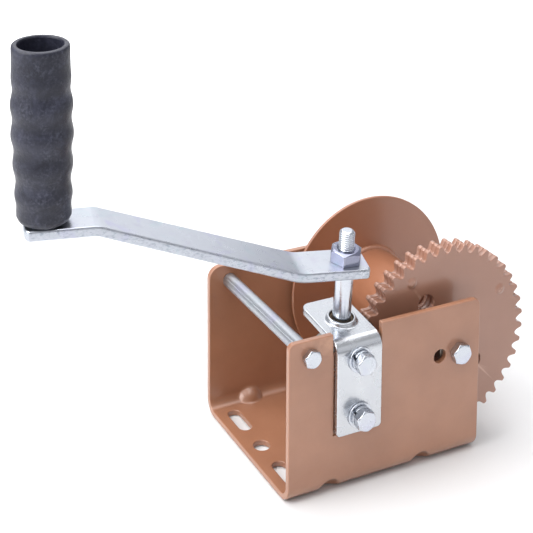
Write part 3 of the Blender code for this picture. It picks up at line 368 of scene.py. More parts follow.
def boolean(ob, cutters, op='DIFFERENCE'):
    """Exact Boolean, applied at once, before the weighted normals."""
    for bm in cutters:
        bmesh.ops.scale(bm, vec=(MM, MM, MM), verts=bm.verts)
        bmesh.ops.recalc_face_normals(bm, faces=bm.faces)
        me = bpy.data.meshes.new("cut")
        bm.to_mesh(me)
        bm.free()
        c = bpy.data.objects.new("cut", me)
        bpy.context.scene.collection.objects.link(c)
        m = ob.modifiers.new("bool", 'BOOLEAN')
        m.operation, m.solver, m.object = op, 'EXACT', c
        keep = [x for x in ob.modifiers if x.type == 'WEIGHTED_NORMAL']
        for k in keep:
            k.show_viewport = False
        dg = bpy.context.evaluated_depsgraph_get()
        dg.update()
        new = bpy.data.meshes.new_from_object(ob.evaluated_get(dg))
        ob.modifiers.remove(m)
        for k in keep:
            k.show_viewport = True
        mats = list(ob.data.materials)
        old = ob.data
        ob.data = new
        bpy.data.meshes.remove(old)
        new.materials.clear()
        for x in mats:
            new.materials.append(x)
        bpy.data.objects.remove(c, do_unlink=True)
        bpy.data.meshes.remove(me)
    ob.data.shade_smooth()
    ob.data.set_sharp_from_angle(angle=math.radians(38))
    return ob


def circle(r, n, cx=0.0, cy=0.0, a0=0.0):
    return [(cx + r * math.cos(a0 + 2 * PI * i / n), cy + r * math.sin(a0 + 2 * PI * i / n)) for i in range(n)]


def stadium(length, width, cx, cy, n=16):
    r, h = width / 2, (length - width) / 2
    top = [(cx + r * math.cos(PI * i / n), cy + h + r * math.sin(PI * i / n)) for i in range(n + 1)]
    bot = [(cx - r * math.cos(PI * i / n), cy - h - r * math.sin(PI * i / n)) for i in range(n + 1)]
    return top + bot


def fillet(points, seg=6, closed=True):
    """Polygon or open line from (x, y, radius) corners."""
    out = []
    n = len(points)
    for i in range(n):
        p = Vector(points[i][:2])
        r = points[i][2] if len(points[i]) > 2 else 0.0
        if r <= 0 or (not closed and i in (0, n - 1)):
            out.append((p.x, p.y))
            continue
        a = (Vector(points[i - 1][:2]) - p).normalized()
        b = (Vector(points[(i + 1) % n][:2]) - p).normalized()
        ang = a.angle(b)
        if ang > PI - 1e-3:
            out.append((p.x, p.y))
            continue
        d = r / math.tan(ang / 2)
        c = p + (a + b).normalized() * (r / math.sin(ang / 2))
        s, e = p + a * d - c, p + b * d - c
        a0 = math.atan2(s.y, s.x)
        da = math.atan2(e.y, e.x) - a0
        da = (da + PI) % (2 * PI) - PI
        for k in range(seg + 1):
            t = a0 + da * k / seg
            out.append((c.x + r * math.cos(t), c.y + r * math.sin(t)))
    return out


def ring_stack(rings, closed=False, caps=True, bm=None):
    bm = bm or bmesh.new()
    vs = [[bm.verts.new(p) for p in r] for r in rings]
    n = len(rings[0])
    pairs = list(zip(vs, vs[1:]))
    if closed:
        pairs.append((vs[-1], vs[0]))
    for a, b in pairs:
        for i in range(n):
            j = (i + 1) % n
            bm.faces.new((a[i], a[j], b[j], b[i]))
    if not closed and caps:
        bm.faces.new(vs[0][::-1])
        bm.faces.new(vs[-1])
    return bm


def turned(profile, n=96, closed=False, a0=0.0, warp=None, bm=None):
    rings = []
    for r, z in profile:
        ring = []
        for i in range(n):
            a = a0 + 2 * PI * i / n
            rr, zz = warp(a, r, z) if warp else (r, z)
            ring.append((rr * math.cos(a), rr * math.sin(a), zz))
        rings.append(ring)
    return ring_stack(rings, closed, True, bm)


def ring_part(ro, ri, z0, z1, e=0.3, ei=None, n=96, seg=4):
    """Turned ring with rounded corners: e outside, ei at the bore."""
    ei = e if ei is None else ei
    return turned(fillet([(ri, z0, ei), (ro, z0, e), (ro, z1, e), (ri, z1, ei)], seg), n, True)


def hexr(theta, af):
    t = (theta + PI / 6) % (PI / 3) - PI / 6
    return min(af / 2 / math.cos(t), af / 2 * 1.132)


def hex_ring(af, z, n, a0, cone=None, shrink=0.0, lift=0.0):
    out = []
    for i in range(n):
        t = 2 * PI * i / n
        r = hexr(t, af)
        zz = z
        if cone is not None:
            zz = z - max(0.0, r - cone) * 0.5774
        r -= shrink
        out.append((r * math.cos(t + a0), r * math.sin(t + a0), zz + lift))
    return out


def circ_ring(r, z, n, a0):
    return [(r * math.cos(2 * PI * i / n + a0), r * math.sin(2 * PI * i / n + a0), z) for i in range(n)]


def head_rings(af, k, a0, n, flip_r, crown=0.965):
    """Rings of a hexagon head from its bearing face to its top, chamfered at 30 degrees."""
    rc = af / 2 * crown
    r = [hex_ring(af, 0.0, n, a0, shrink=0.30), hex_ring(af, 0.10, n, a0, shrink=0.08), hex_ring(af, 0.32, n, a0)]
    r.append(hex_ring(af, k - 0.42, n, a0, rc))
    r.append(hex_ring(af, k - 0.30, n, a0, rc, 0.03))
    r.append(hex_ring(af, k - 0.17, n, a0, rc, 0.13))
    # ring on the chamfer cone half way in
    mid = []
    for i in range(n):
        t = 2 * PI * i / n
        q = hexr(t, af)
        m = (q - 0.13) * 0.5 + rc * 0.5
        mid.append((m * math.cos(t + a0), m * math.sin(t + a0), k - 0.06 - max(0.0, m - rc) * 0.5774 - 0.05))
    r.append(mid)
    r.append(circ_ring(rc, k - 0.10, n, a0))
    r.append(circ_ring(rc - 0.22, k - 0.02, n, a0))
    r.append(circ_ring(rc - 0.55, k, n, a0))
    return r


def thread_rows(r_maj, r_min, pitch, z0, z1, n, a0=0.0, per=10, hand=1.0, point=1.0, fade=True):
    """Rings of a helical thread between two heights, with a chamfered point at z1."""
    rows = []
    m = max(2, int(abs(z1 - z0) / pitch * per))
    for k in range(m + 1):
        z = z0 + (z1 - z0) * k / m
        ring = []
        for i in range(n):
            a = 2 * PI * i / n
            f = (z / pitch - hand * a / (2 * PI)) % 1.0
            tri = 1.0 - abs(f - 0.5) * 2.0
            h = min(1.0, max(0.0, (tri - 0.16) / 0.62))
            if fade:
                h = 1.0 - (1.0 - h) * min(1.0, abs(z - z0) / (pitch * 0.9))
            r = r_min + (r_maj - r_min) * h
            lim = r_maj - point + abs(z1 - z)
            r = min(r, lim)
            ring.append((r * math.cos(a + a0), r * math.sin(a + a0), z))
        rows.append(ring)
    return rows


def hex_bolt(d, af, k, length, a0=0.0, n=96, thread=0.0, pitch=1.25):
    """Head from z = 0 up to k; shank down to -length with the last part threaded."""
    rs = d / 2
    rings = []
    if thread > 0:
        rows = thread_rows(rs, rs - 0.60 * pitch * 0.85, pitch, -(length - thread), -length, n, a0, 9, 1.0, 0.8)
        end = rows[-1]
        rings.append([(x * 0.55, y * 0.55, z) for x, y, z in end])
        rings += rows[::-1]
    else:
        rings += [circ_ring(rs - 0.8, -length, n, a0), circ_ring(rs, -length + 0.8, n, a0)]
    rings += [circ_ring(rs, -0.5, n, a0), circ_ring(rs, 0.0, n, a0)]
    rings += head_rings(af, k, a0, n, rs)
    return ring_stack(rings)


def hex_nut(bore_r, af, h, a0=0.0, n=96, pitch=1.25, crown=0.965):
    """Nut with chamfered top and bottom edges and a plain bore, countersunk at both ends."""
    top = head_rings(af, h, a0, n, bore_r, crown)
    rings = [circ_ring(bore_r, 0.9, n, a0), circ_ring(bore_r + 0.7, 0.0, n, a0)] + top
    rings += [circ_ring(bore_r + 1.2, h, n, a0), circ_ring(bore_r + 1.0, h - 0.1, n, a0), circ_ring(bore_r, h - 1.1, n, a0)]
    return ring_stack(rings, closed=True)


def lock_ring(ro, ri, z0, z1, split_deg, a0, n=84):
    """Split spring washer with rounded edges; the ends stand slightly apart and are cut on a slant."""
    bm = bmesh.new()
    vs = []
    prof = fillet([(ri, z0, 0.25), (ro, z0, 0.35), (ro, z1 - 0.25, 0.35), (ri, z1 - 0.25, 0.25)], 3)
    for i in range(n + 1):
        f = i / n
        dz = 0.25 * f
        row = []
        for r, z in prof:
            slant = math.radians(9.0) * ((z - z0) / (z1 - z0) - 0.5)
            a = a0 + math.radians(split_deg) / 2 + (2 * PI - math.radians(split_deg)) * f + slant
            row.append(bm.verts.new((r * math.cos(a), r * math.sin(a), z + dz)))
        vs.append(row)
    m = len(prof)
    for p, q in zip(vs, vs[1:]):
        for j in range(m):
            k = (j + 1) % m
            bm.faces.new((p[j], p[k], q[k], q[j]))
    bm.faces.new(vs[0][::-1])
    bm.faces.new(vs[-1])
    return bm


def edge_profile(t, e, seg=4, bulge=0.0):
    """(inset, depth) pairs down a sheet's edge with radius e at both corners."""
    up = [(e * (1 - math.sin(PI / 2 * i / seg)), e * (1 - math.cos(PI / 2 * i / seg))) for i in range(seg + 1)]
    return up + [(a, t - b) for a, b in reversed(up)]


def signed_area(loop):
    return 0.5 * sum(a[0] * b[1] - b[0] * a[1] for a, b in zip(loop, loop[1:] + loop[:1]))


def plate(outline, holes, prof, surf, points=(), loops=(), lines=(), hole_scale=0.75, small=()):
    """Flat sheet with holes and rounded edges, carried onto surf(u, v, depth).

    lines holds ('u' or 'v', value): creases across the sheet from edge to edge.
    loops holds closed rings of inner points, and points holds loose inner points.
    """
    rims = [outline if signed_area(outline) > 0 else outline[::-1]]
    rims += [h if signed_area(h) < 0 else h[::-1] for h in holes]
    off = []
    for loop in rims:
        n = len(loop)
        row = []
        for i in range(n):
            p, q, r = Vector(loop[i - 1]), Vector(loop[i]), Vector(loop[(i + 1) % n])
            a, b = (q - p).normalized(), (r - q).normalized()
            na, nb = Vector((-a.y, a.x)), Vector((-b.y, b.x))
            row.append((na + nb) / max(0.35, 1.0 + na.dot(nb)))
        off.append(row)
    scale = [1.0] + [0.12 if k in small else hole_scale for k in range(len(rims) - 1)]
    e0 = prof[0][0]
    verts, edges, start = [], [], []
    for loop, row, sc in zip(rims, off, scale):
        start.append(len(verts))
        n = len(loop)
        for p, m in zip(loop, row):
            verts.append(Vector(p) + m * (e0 * sc))
        edges += [(start[-1] + i, start[-1] + (i + 1) % n) for i in range(n)]
    n_rim = len(verts)
    for ax, val in lines:
        k = 0 if ax == 'u' else 1
        on = [i for i in range(len(rims[0])) if abs(rims[0][i][k] - val) < 1e-4 and abs(verts[i][k] - val) < 1e-3]
        on.sort(key=lambda i: verts[i][1 - k])
        edges.append((on[0], on[-1]))
    for lp in loops:
        s = len(verts)
        verts += [Vector(p) for p in lp]
        edges += [(s + i, s + (i + 1) % len(lp)) for i in range(len(lp))]
    verts += [Vector(p) for p in points]
    out_v, _, out_f, orig, _, _ = delaunay_2d_cdt(verts, edges, [], 0, 1e-5)
    where = {}
    for o, src in enumerate(orig):
        for s in src:
            where[s] = o
    V = np.array([(v.x, v.y) for v in out_v])
    F = np.array([list(f) for f in out_f])
    C = V[F].mean(axis=1)
    inside = np.zeros(len(C), bool)
    for si, loop in enumerate(rims):
        n = len(loop)
        L = np.array([tuple(verts[start[si] + i]) for i in range(n)])
        M2 = np.roll(L, -1, axis=0)
        for (x0, y0), (x1, y1) in zip(L, M2):
            if y0 == y1:
                continue
            cross = (C[:, 1] > min(y0, y1)) & (C[:, 1] <= max(y0, y1))
            xs = x0 + (C[:, 1] - y0) * (x1 - x0) / (y1 - y0)
            inside ^= cross & (C[:, 0] < xs)
    F = F[inside]
    used = sorted(set(F.ravel().tolist()))
    bm = bmesh.new()
    strength = bm.faces.layers.int.new("__mod_weightednormals_faceweight")
    depth_a, depth_b = prof[0][1], prof[-1][1]
    top = {i: bm.verts.new(surf(V[i][0], V[i][1], depth_a)) for i in used}
    bot = {i: bm.verts.new(surf(V[i][0], V[i][1], depth_b)) for i in used}
    for a, b, c in F:
        bm.faces.new((top[a], top[b], top[c]))[strength] = 16384
        bm.faces.new((bot[c], bot[b], bot[a]))[strength] = 16384
    for si, (loop, row, sc) in enumerate(zip(rims, off, scale)):
        n = len(loop)
        rings = [[top[where[start[si] + i]] for i in range(n)]]
        for ins, d in prof[1:-1]:
            rings.append([bm.verts.new(surf(p[0] + m.x * ins * sc, p[1] + m.y * ins * sc, d)) for p, m in zip(loop, row)])
        rings.append([bot[where[start[si] + i]] for i in range(n)])
        for a, b in zip(rings, rings[1:]):
            for i in range(n):
                j = (i + 1) % n
                bm.faces.new((a[i], b[i], b[j], a[j]))
    return bm


def smax(a, b, k):
    h = min(1.0, max(0.0, 0.5 + 0.5 * (b - a) / k))
    return a * (1 - h) + b * h + k * h * (1 - h)


def bend_lines(s0, length, n):
    return [s0 + length * i / n for i in range(n + 1)]


# ---------------------------------------------------------------- frame channel
L1 = FR_H - FR_BEND
LB = FR_BEND * PI / 2
L2 = FR_W - 2 * FR_BEND
SB1, SB2 = L1 + LB, L1 + LB + L2
ST = 2 * L1 + 2 * LB + L2
NB = 16


def dart_h(dx, a, base, hx, hw, ha):
    """Height of a pressed dome above the inner corner, dx along the bend and a across it."""
    f = 1.0 - (dx / hx) ** 2 - (a / ha) ** 2
    return base + hw * math.sqrt(f) if f > 0 else base - 8.0 * min(1.0, -f)


def channel_surf(u, s, d):
    if s <= L1:
        y, z = Y_NEAR + d, FR_H - s
    elif s <= SB1:
        th = (s - L1) / FR_BEND
        y = Y_NEAR + FR_BEND - (FR_BEND - d) * math.cos(th)
        z = FR_BEND - (FR_BEND - d) * math.sin(th)
    elif s <= SB2:
        y, z = Y_NEAR + FR_BEND + (s - SB1), d
    elif s <= SB2 + LB:
        th = (s - SB2) / FR_BEND
        y = Y_FAR - FR_BEND + (FR_BEND - d) * math.sin(th)
        z = FR_BEND - (FR_BEND - d) * math.cos(th)
    else:
        y, z = Y_FAR - d, FR_BEND + (s - SB2 - LB)
    # locating recess behind the bracket
    if s < L1 and d < FR_T * 0.6:
        m = min(max(0.0, (u - (NOTCH_X0 + 0.1)) / 0.25), max(0.0, (RECESS_X1 - u) / 0.25), max(0.0, (z - RECESS_Z) / 0.25), 1.0)
        if m > 0:
            y += RECESS_D * m * (1 - d / FR_T)
    # pressed darts across both bends
    for x0 in DART_X:
        dx = u - x0
        if abs(dx) > 12.5 or z > 26:
            continue
        side = -1 if y < 0 else 1
        cy, cz = side * (FR_W / 2 - FR_T), FR_T
        iy, iz = -side * math.sqrt(0.5), math.sqrt(0.5)
        w = (y - cy) * iy + (z - cz) * iz
        a = (y - cy) * side * math.sqrt(0.5) + (z - cz) * math.sqrt(0.5)
        f = d / FR_T
        wi = smax(w, dart_h(dx, a, *DART_DOME), 2.6) - w
        wo = smax(w, dart_h(dx, a, *DART_DENT), 1.6) - w
        g = wo * (1 - f) + wi * f
        y += iy * g
        z += iz * g
    return (u, y, z)


hx = FR_L / 2
s_lines = bend_lines(L1, LB, NB) + bend_lines(SB2, LB, NB)
notch_s = FR_H - NOTCH_Z
f_out = [(-hx, 0, FR_R_NEAR_L), (NOTCH_X0, 0, 0.9), (NOTCH_X0, notch_s, 0), (NOTCH_X0 + 0.1, notch_s, 0),
         (NOTCH_X0 + 0.35, notch_s, 0), (RECESS_X1 - 0.25, notch_s, 0), (RECESS_X1, notch_s, 0),
         (NOTCH_X1, notch_s, 0), (NOTCH_X1, 0, 0.9), (hx, 0, FR_R_NEAR_R)]
f_out += [(hx, s, 0) for s in s_lines] + [(hx, ST, FR_R_FAR), (-hx, ST, FR_R_FAR)] + [(-hx, s, 0) for s in reversed(s_lines)]
f_holes = []
for sx in (-1, 1):
    for sy in (-1, 1):
        f_holes.append(stadium(SLOT_L, SLOT_W, sx * SLOT_X, SB1 + (sy * SLOT_Y - Y_NEAR - FR_BEND)))
    f_holes.append(circle(BASE_HOLE_D / 2, 48, sx * SLOT_X, SB1 + (0 - Y_NEAR - FR_BEND)))
BEAR_Z = 11.0
BEAR_Y = WORM_P0.y + (DRUM_Z - BEAR_Z) * math.tan(LEAD)
f_holes.append(circle(7.3, 48, WORM_X, SB1 + (BEAR_Y - Y_NEAR - FR_BEND)))
f_small = []
for bz in BR_BOLT_Z:
    f_small.append(len(f_holes))
    f_holes.append(circle(4.08, 36, BR_BOLT_X, FR_H - bz))
f_holes.append(circle(SPARE_HOLE_D / 2, 48, SPARE_HOLE_X, FR_H - SPARE_HOLE_Z))
for (cx, cz, r) in ((DRUM_X, DRUM_Z, AXLE_D / 2 + 0.3), (TIE_X, TIE_Z, TIE_D / 2 + 0.3)):
    f_holes.append(circle(r, 36, cx, FR_H - cz))
    f_holes.append(circle(r, 36, cx, SB2 + LB + cz - FR_BEND))
f_pts = []
rows = [L1 - LB / NB * k for k in range(1, 19)] + bend_lines(L1, LB, NB) + [SB1 + LB / NB * k for k in range(1, 19)]
rows = rows + [ST - s for s in rows]
for x0 in DART_X:
    for s in rows:
        for k in range(-15, 16):
            x = x0 + k * 0.8
            if any(abs(x - sx * SLOT_X) < SLOT_W / 2 + 0.9 for sx in (-1, 1)) and SB1 < s < SB2:
                continue
            f_pts.append((x, s))
# locating recess: two nested outlines, open at the notch
rec = []
for e in (0.0, 0.25):
    x0r, x1r, sr = NOTCH_X0 + 0.1 + e, RECESS_X1 - e, FR_H - RECESS_Z - e
    rec.append([(x0r, notch_s + 0.7), (x0r, sr), (x1r, sr), (x1r, notch_s + 0.7)])
fb = plate(fillet(f_out, 9), f_holes, edge_profile(FR_T, 0.7, 4), channel_surf, f_pts, rec, [('v', s) for s in s_lines], 0.75, f_small)
piece("frame_channel_skin", fb, paint_frame, "frame", ["frame_channel"])

# ---------------------------------------------------------------- bracket
ty, tz = math.cos(LEAD), math.sin(LEAD)


def plane_z(y, h):
    return DRUM_Z + (h + (y - WORM_P0.y) * tz) / ty


zc_o = plane_z(BR_Y, BR_TOP_H)
b_ang = PI / 2 - LEAD
b_tan = BR_BEND * math.tan(b_ang / 2)
B1 = zc_o - b_tan - BR_Z0
B2 = B1 + BR_BEND * b_ang
B3 = B2 + BR_LEN - b_tan
axis_hit = crank_M @ Vector((0, 0, BR_TOP_H))
hole_s = B2 + (axis_hit.y - BR_Y) * ty + (axis_hit.z - zc_o) * tz - b_tan
CR = [(8.9, 2.98), (9.2, 2.90), (9.5, 2.72), (9.75, 2.42), (9.95, 2.0), (10.06, 1.5), (10.12, 1.05), (10.25, 0.65),
      (10.5, 0.33), (10.9, 0.12), (11.5, 0.0), (12.2, 0.0)]


def collar_h(r):
    if r <= CR[0][0]:
        return 3.0
    for (r0, h0), (r1, h1) in zip(CR, CR[1:]):
        if r <= r1:
            return h0 + (h1 - h0) * (r - r0) / (r1 - r0)
    return 0.0


def bracket_surf(u, s, d):
    if s > B2:
        r = math.hypot(u - WORM_X, s - hole_s)
        if r < 11.5:
            d = d - collar_h(r) * (1 - d / BR_T)
    if s <= B1:
        return (u, BR_Y + d, BR_Z0 + s)
    if s <= B2:
        th = (s - B1) / BR_BEND
        cy, cz = BR_Y + BR_BEND, BR_Z0 + B1
        return (u, cy - (BR_BEND - d) * math.cos(th), cz + (BR_BEND - d) * math.sin(th))
    k = s - B2 + b_tan
    return (u, BR_Y + k * ty + d * tz, zc_o + k * tz - d * ty)


b_lines = bend_lines(B1, B2 - B1, 18)
b_out = [(BR_X0, 0, 2.6), (BR_X1, 0, 3.0)] + [(BR_X1, s, 0) for s in b_lines] + [(BR_X1, B3, 6.5), (BR_X0, B3, 6.5)]
b_out += [(BR_X0, s, 0) for s in reversed(b_lines)]
b_holes = [circle(COLLAR_RI, 96, WORM_X, hole_s)] + [circle(AXLE_D / 2 + 0.3, 40, BR_BOLT_X, bz - BR_Z0) for bz in BR_BOLT_Z]
bb = plate(fillet(b_out, 12), b_holes, edge_profile(BR_T, 0.8, 5), bracket_surf, (),
           [circle(r, 96, WORM_X, hole_s) for r, _ in CR], [('v', s) for s in b_lines], 0.65, (1, 2))
piece("worm_bracket_skin", bb, zinc_sheet, "frame", ["worm_bracket"])

piece("upper_worm_bush_skin", turned(fillet([(SHAFT_R + 0.2, 23.7, 0.2), (11.0, 23.7, 0.4), (11.0, BR_TOP_H - BR_T - 0.3, 0.2),
                                             (COLLAR_RI - 0.3, BR_TOP_H - BR_T - 0.3, 0.1),
                                             (COLLAR_RI - 0.3, BR_TOP_H + COLLAR_H - 1.2, 0.4),
                                             (SHAFT_R + 0.2, BR_TOP_H + COLLAR_H - 1.2, 0.3)], 3), 96, True),
      bronze, "frame", ["upper_worm_bush"], crank_M)
piece("worm_thrust_washer_skin", ring_part(10.0, SHAFT_R + 0.25, 21.5, 23.4, 0.3), steel_turned, "frame",
      ["worm_thrust_washer"], crank_M)
bear = piece("lower_worm_bearing_skin", turned(fillet([(0.6, 0.25, 0), (7.0, 0.25, 0.6), (7.0, 4.3, 0), (14.0, 4.3, 0.5),
                                                       (14.0, 18.0, 1.4), (0.6, 18.0, 0)], 5, False), 96),
             bronze, "frame", ["lower_worm_bearing"], T(WORM_X, BEAR_Y, 0))
_cut = turned([(SHAFT_R + 0.2, SHAFT_H0 - 0.4), (SHAFT_R + 0.2, SHAFT_H0 + 25)], 72)
bmesh.ops.transform(_cut, matrix=crank_M, verts=_cut.verts)
boolean(bear, [_cut])

# ---------------------------------------------------------------- bracket bolts
for nm, bz, rot in (("upper", BR_BOLT_Z[1], 0.35), ("lower", BR_BOLT_Z[0], 0.2)):
    piece("flat_washer_%s_skin" % nm, ring_part(8.75, AXLE_D / 2 + 0.3, 0, 1.6, 0.45, 0.2), zinc_bolt, "frame",
          ["bracket_flat_washer_" + nm], T(BR_BOLT_X, BR_Y - 0.1, bz) @ TO_MINUS_Y)
    piece("lock_washer_%s_skin" % nm, lock_ring(7.2, AXLE_D / 2 + 0.3, 0, 2.35, 16.0, rot + 2.2), zinc_bolt, "frame",
          ["bracket_lock_washer_" + nm], T(BR_BOLT_X, BR_Y - 1.85, bz) @ TO_MINUS_Y)
    piece("bracket_bolt_%s_skin" % nm, hex_bolt(AXLE_D, 13.0, 5.3, 11.9, rot, thread=9.0), zinc_bolt, "frame",
          ["bracket_bolt_" + nm], T(BR_BOLT_X, BR_Y - 4.4, bz) @ TO_MINUS_Y)

# ---------------------------------------------------------------- tie rod
SEAM = math.radians(140.0)


def seam_warp(a, r, z):
    """Butt seam of the rolled tube: a fine groove along its length."""
    x = (a - SEAM + PI) % (2 * PI) - PI
    return (r - 0.32 * math.exp(-(x * r / 0.30) ** 2) if r > 4.0 else r, z)


_w = Y_FAR - FR_T - 0.25
_prof = fillet([(TIE_D / 2 + 0.5, -_w, 0.2), (TIE_TUBE_R, -_w, 0.5), (TIE_TUBE_R, _w, 0.5), (TIE_D / 2 + 0.5, _w, 0.2)], 4)
_a = []
# angles crowded round the seam so that the groove is a real shape
for i in range(72):
    _a.append(2 * PI * i / 72)
for k in range(-8, 9):
    _a.append((SEAM + k * 0.016) % (2 * PI))
_a = sorted(set(round(x, 6) for x in _a))
# on the tube's own axes local X is world X and local Y is world -Z
_rings = [[(seam_warp(a, r, z)[0] * math.cos(a), -seam_warp(a, r, z)[0] * math.sin(a), z) for a in _a] for r, z in _prof]
piece("tie_tube_skin", ring_stack(_rings, closed=True), zinc_tube, "frame", ["tie_spacer_tube"],
      T(TIE_X, 0, TIE_Z) @ TO_PLUS_Y)
piece("tie_bolt_skin", hex_bolt(TIE_D, TIE_AF, TIE_K, FR_W + 9.0, 0.25, thread=22.0, pitch=1.27), zinc_bolt, "frame",
      ["tie_bolt"], T(TIE_X, Y_NEAR - 0.1, TIE_Z) @ TO_MINUS_Y)
piece("tie_washer_skin", ring_part(7.0, TIE_D / 2 + 0.3, 0, 1.4, 0.35, 0.2), zinc_bolt, "frame", ["tie_washer"],
      T(TIE_X, Y_FAR + 0.1, TIE_Z) @ TO_PLUS_Y)
piece("tie_nut_skin", hex_nut(TIE_D / 2 + 0.1, TIE_AF, 5.2), zinc_bolt, "frame", ["tie_nut"],
      T(TIE_X, Y_FAR + 1.6, TIE_Z) @ TO_PLUS_Y)

# ---------------------------------------------------------------- axle
piece("axle_bolt_skin", hex_bolt(AXLE_D, AXLE_AF, AXLE_K, FR_W + 11.5, 0.3, thread=24.0, pitch=1.41), zinc_bolt, "frame",
      ["axle_bolt"], T(DRUM_X, Y_NEAR - 0.1, DRUM_Z) @ TO_MINUS_Y)
piece("axle_sleeve_skin", ring_part(SLEEVE_R, AXLE_D / 2 + 0.3, -_w, _w, 0.4, 0.2), steel_turned, "frame",
      ["axle_sleeve"], T(DRUM_X, 0, DRUM_Z) @ TO_PLUS_Y)
piece("axle_washer_skin", ring_part(8.75, AXLE_D / 2 + 0.3, 0, 1.6, 0.45, 0.2), zinc_bolt, "frame", ["axle_washer"],
      T(DRUM_X, Y_FAR + 0.1, DRUM_Z) @ TO_PLUS_Y)
piece("axle_nut_skin", hex_nut(AXLE_D / 2 + 0.1, AXLE_AF, 6.6), zinc_bolt, "frame", ["axle_nut"],
      T(DRUM_X, Y_FAR + 1.8, DRUM_Z) @ TO_PLUS_Y)
piece("axle_spacer_near_skin", ring_part(12.0, SLEEVE_R + 0.3, Y_NEAR + FR_T + 0.3, GEAR_Y0 - 1.4, 0.5), steel_turned,
      "frame", ["axle_spacer_near"], T(DRUM_X, 0, DRUM_Z) @ TO_PLUS_Y)
piece("axle_spacer_far_skin", ring_part(12.0, SLEEVE_R + 0.3, FLANGE_Y + FLANGE_T + 1.0, Y_FAR - FR_T - 0.3, 0.4),
      steel_turned, "frame", ["axle_spacer_far"], T(DRUM_X, 0, DRUM_Z) @ TO_PLUS_Y)


# ---------------------------------------------------------------- gear
def gear_outline():
    """Round-tipped, round-rooted straight teeth, smoothed by corner cutting."""
    pts = []
    step = 2 * PI / GEAR_N
    for k in range(GEAR_N):
        c = GEAR_PHASE - k * step

        def half(r):
            return GEAR_TOOTH_S / 2 - (r - GEAR_PITCH_R) * math.tan(GEAR_FLANK)
        r_lo, root = GEAR_ROOT_R + 0.9, GEAR_ROOT_R - 0.1
        r_c = GEAR_TIP_R - 1.45
        w_c = half(r_c) + 0.20
        tooth = [(r_lo, half(r_lo) + 0.25), (r_c, w_c)]
        tooth += [(r_c + 1.47 * math.sin(PI * k2 / 12), w_c * math.cos(PI * k2 / 12) ** 0.8) for k2 in (1, 2, 3, 4, 5)]
        wr = PI * root / GEAR_N
        seq = [(root, wr * 0.84 + half(r_lo) * 0.10)] + tooth + [(GEAR_TIP_R + 0.02, 0.0)]
        seq += [(r, -w) for r, w in reversed(tooth)]
        seq.append((root, -(wr * 0.84 + half(r_lo) * 0.10)))
        for r, w in seq:
            a = c + w / r
            pts.append((r * math.cos(a), r * math.sin(a)))
    for _ in range(2):
        new = []
        for i in range(len(pts)):
            p, q = pts[i], pts[(i + 1) % len(pts)]
            new.append((p[0] * 0.75 + q[0] * 0.25, p[1] * 0.75 + q[1] * 0.25))
            new.append((p[0] * 0.25 + q[0] * 0.75, p[1] * 0.25 + q[1] * 0.75))
        pts = new
    return pts


BUMP_RINGS = [(0.9, 1.28), (1.8, 1.18), (2.5, 0.98), (3.0, 0.70), (3.35, 0.42), (3.7, 0.18), (4.2, 0.05), (4.9, 0.0), (5.6, 0.0)]


def bump_h(r):
    if r <= BUMP_RINGS[0][0]:
        return BUMP_RINGS[0][1]
    for (r0, h0), (r1, h1) in zip(BUMP_RINGS, BUMP_RINGS[1:]):
        if r <= r1:
            return h0 + (h1 - h0) * (r - r0) / (r1 - r0)
    return 0.0


bump_c = [(BUMP_R * math.cos(math.radians(a)), BUMP_R * math.sin(math.radians(a))) for a in BUMP_A]


def gear_surf(y0, t, near, far):
    def surf(u, v, d):
        y = y0 + d
        if near or far:
            for cx, cz in bump_c:
                r = math.hypot(u - cx, v - cz)
                if r < 4.9:
                    f = d / t
                    y -= bump_h(r) * ((1 - f) * near + f * far)
        return (u, y, v)
    return surf


def lamination(t, front, back):
    """Edge of one gear plate: a crisp outer face or a deeply rounded inner one on each side."""
    def side(crisp):
        if crisp:
            return [(0.70, 0.0), (0.46, 0.0), (0.25, 0.06), (0.09, 0.22), (0.0, 0.52)]
        return [(0.70, 0.0), (0.52, 0.16), (0.30, 0.42), (0.12, 0.76), (0.0, 1.20)]
    return side(front) + [(a, t - b) for a, b in reversed(side(back))]


g_out = gear_outline()
g_holes = [circle(BORE_R, 72)] + [circle(LIGHT_HOLE_D / 2, 56, LIGHT_HOLE_R * math.cos(math.radians(a)),
                                         LIGHT_HOLE_R * math.sin(math.radians(a))) for a in LIGHT_HOLE_A]
g_loops = [circle(r, 28, cx, cz) for cx, cz in bump_c for r, _ in BUMP_RINGS] + [[c] * 1 for c in []]
PLATE_Y = ((GEAR_Y0, 4.06, 1.0, 0.0), (GEAR_Y0 + 4.1, 4.06, 0.0, 0.0), (GEAR_Y0 + 8.2, 3.8, 0.0, 0.9))
for nm, (y0, t, nb, fb_) in zip(("outer", "middle", "inner"), PLATE_Y):
    gb = plate(g_out, g_holes, lamination(t, nb, fb_), gear_surf(y0, t, nb, fb_), bump_c if (nb or fb_) else (),
               g_loops if (nb or fb_) else (), (), 1.0)
    piece("gear_plate_%s_skin" % nm, gb, paint_gear, "drum", ["gear_plate_" + nm], drum_M)
GEAR_Y1 = GEAR_Y0 + 12.0

# ---------------------------------------------------------------- drum
piece("drum_core_skin", ring_part(CORE_R, CORE_R - CORE_WALL, GEAR_Y1 + 0.02, FLANGE_Y - 0.02, 0.3, 0.3, 160), paint_drum,
      "drum", ["drum_core"], drum_M @ TO_PLUS_Y)
piece("drum_flange_skin", turned(fillet([(BORE_R, FLANGE_Y, 0.4), (FLANGE_R, FLANGE_Y, 0.9), (FLANGE_R, FLANGE_Y + FLANGE_T, 0.9),
                                         (BORE_R, FLANGE_Y + FLANGE_T, 0.4)], 5), 240, True), paint_drum, "drum",
      ["drum_flange_far"], drum_M @ TO_PLUS_Y)


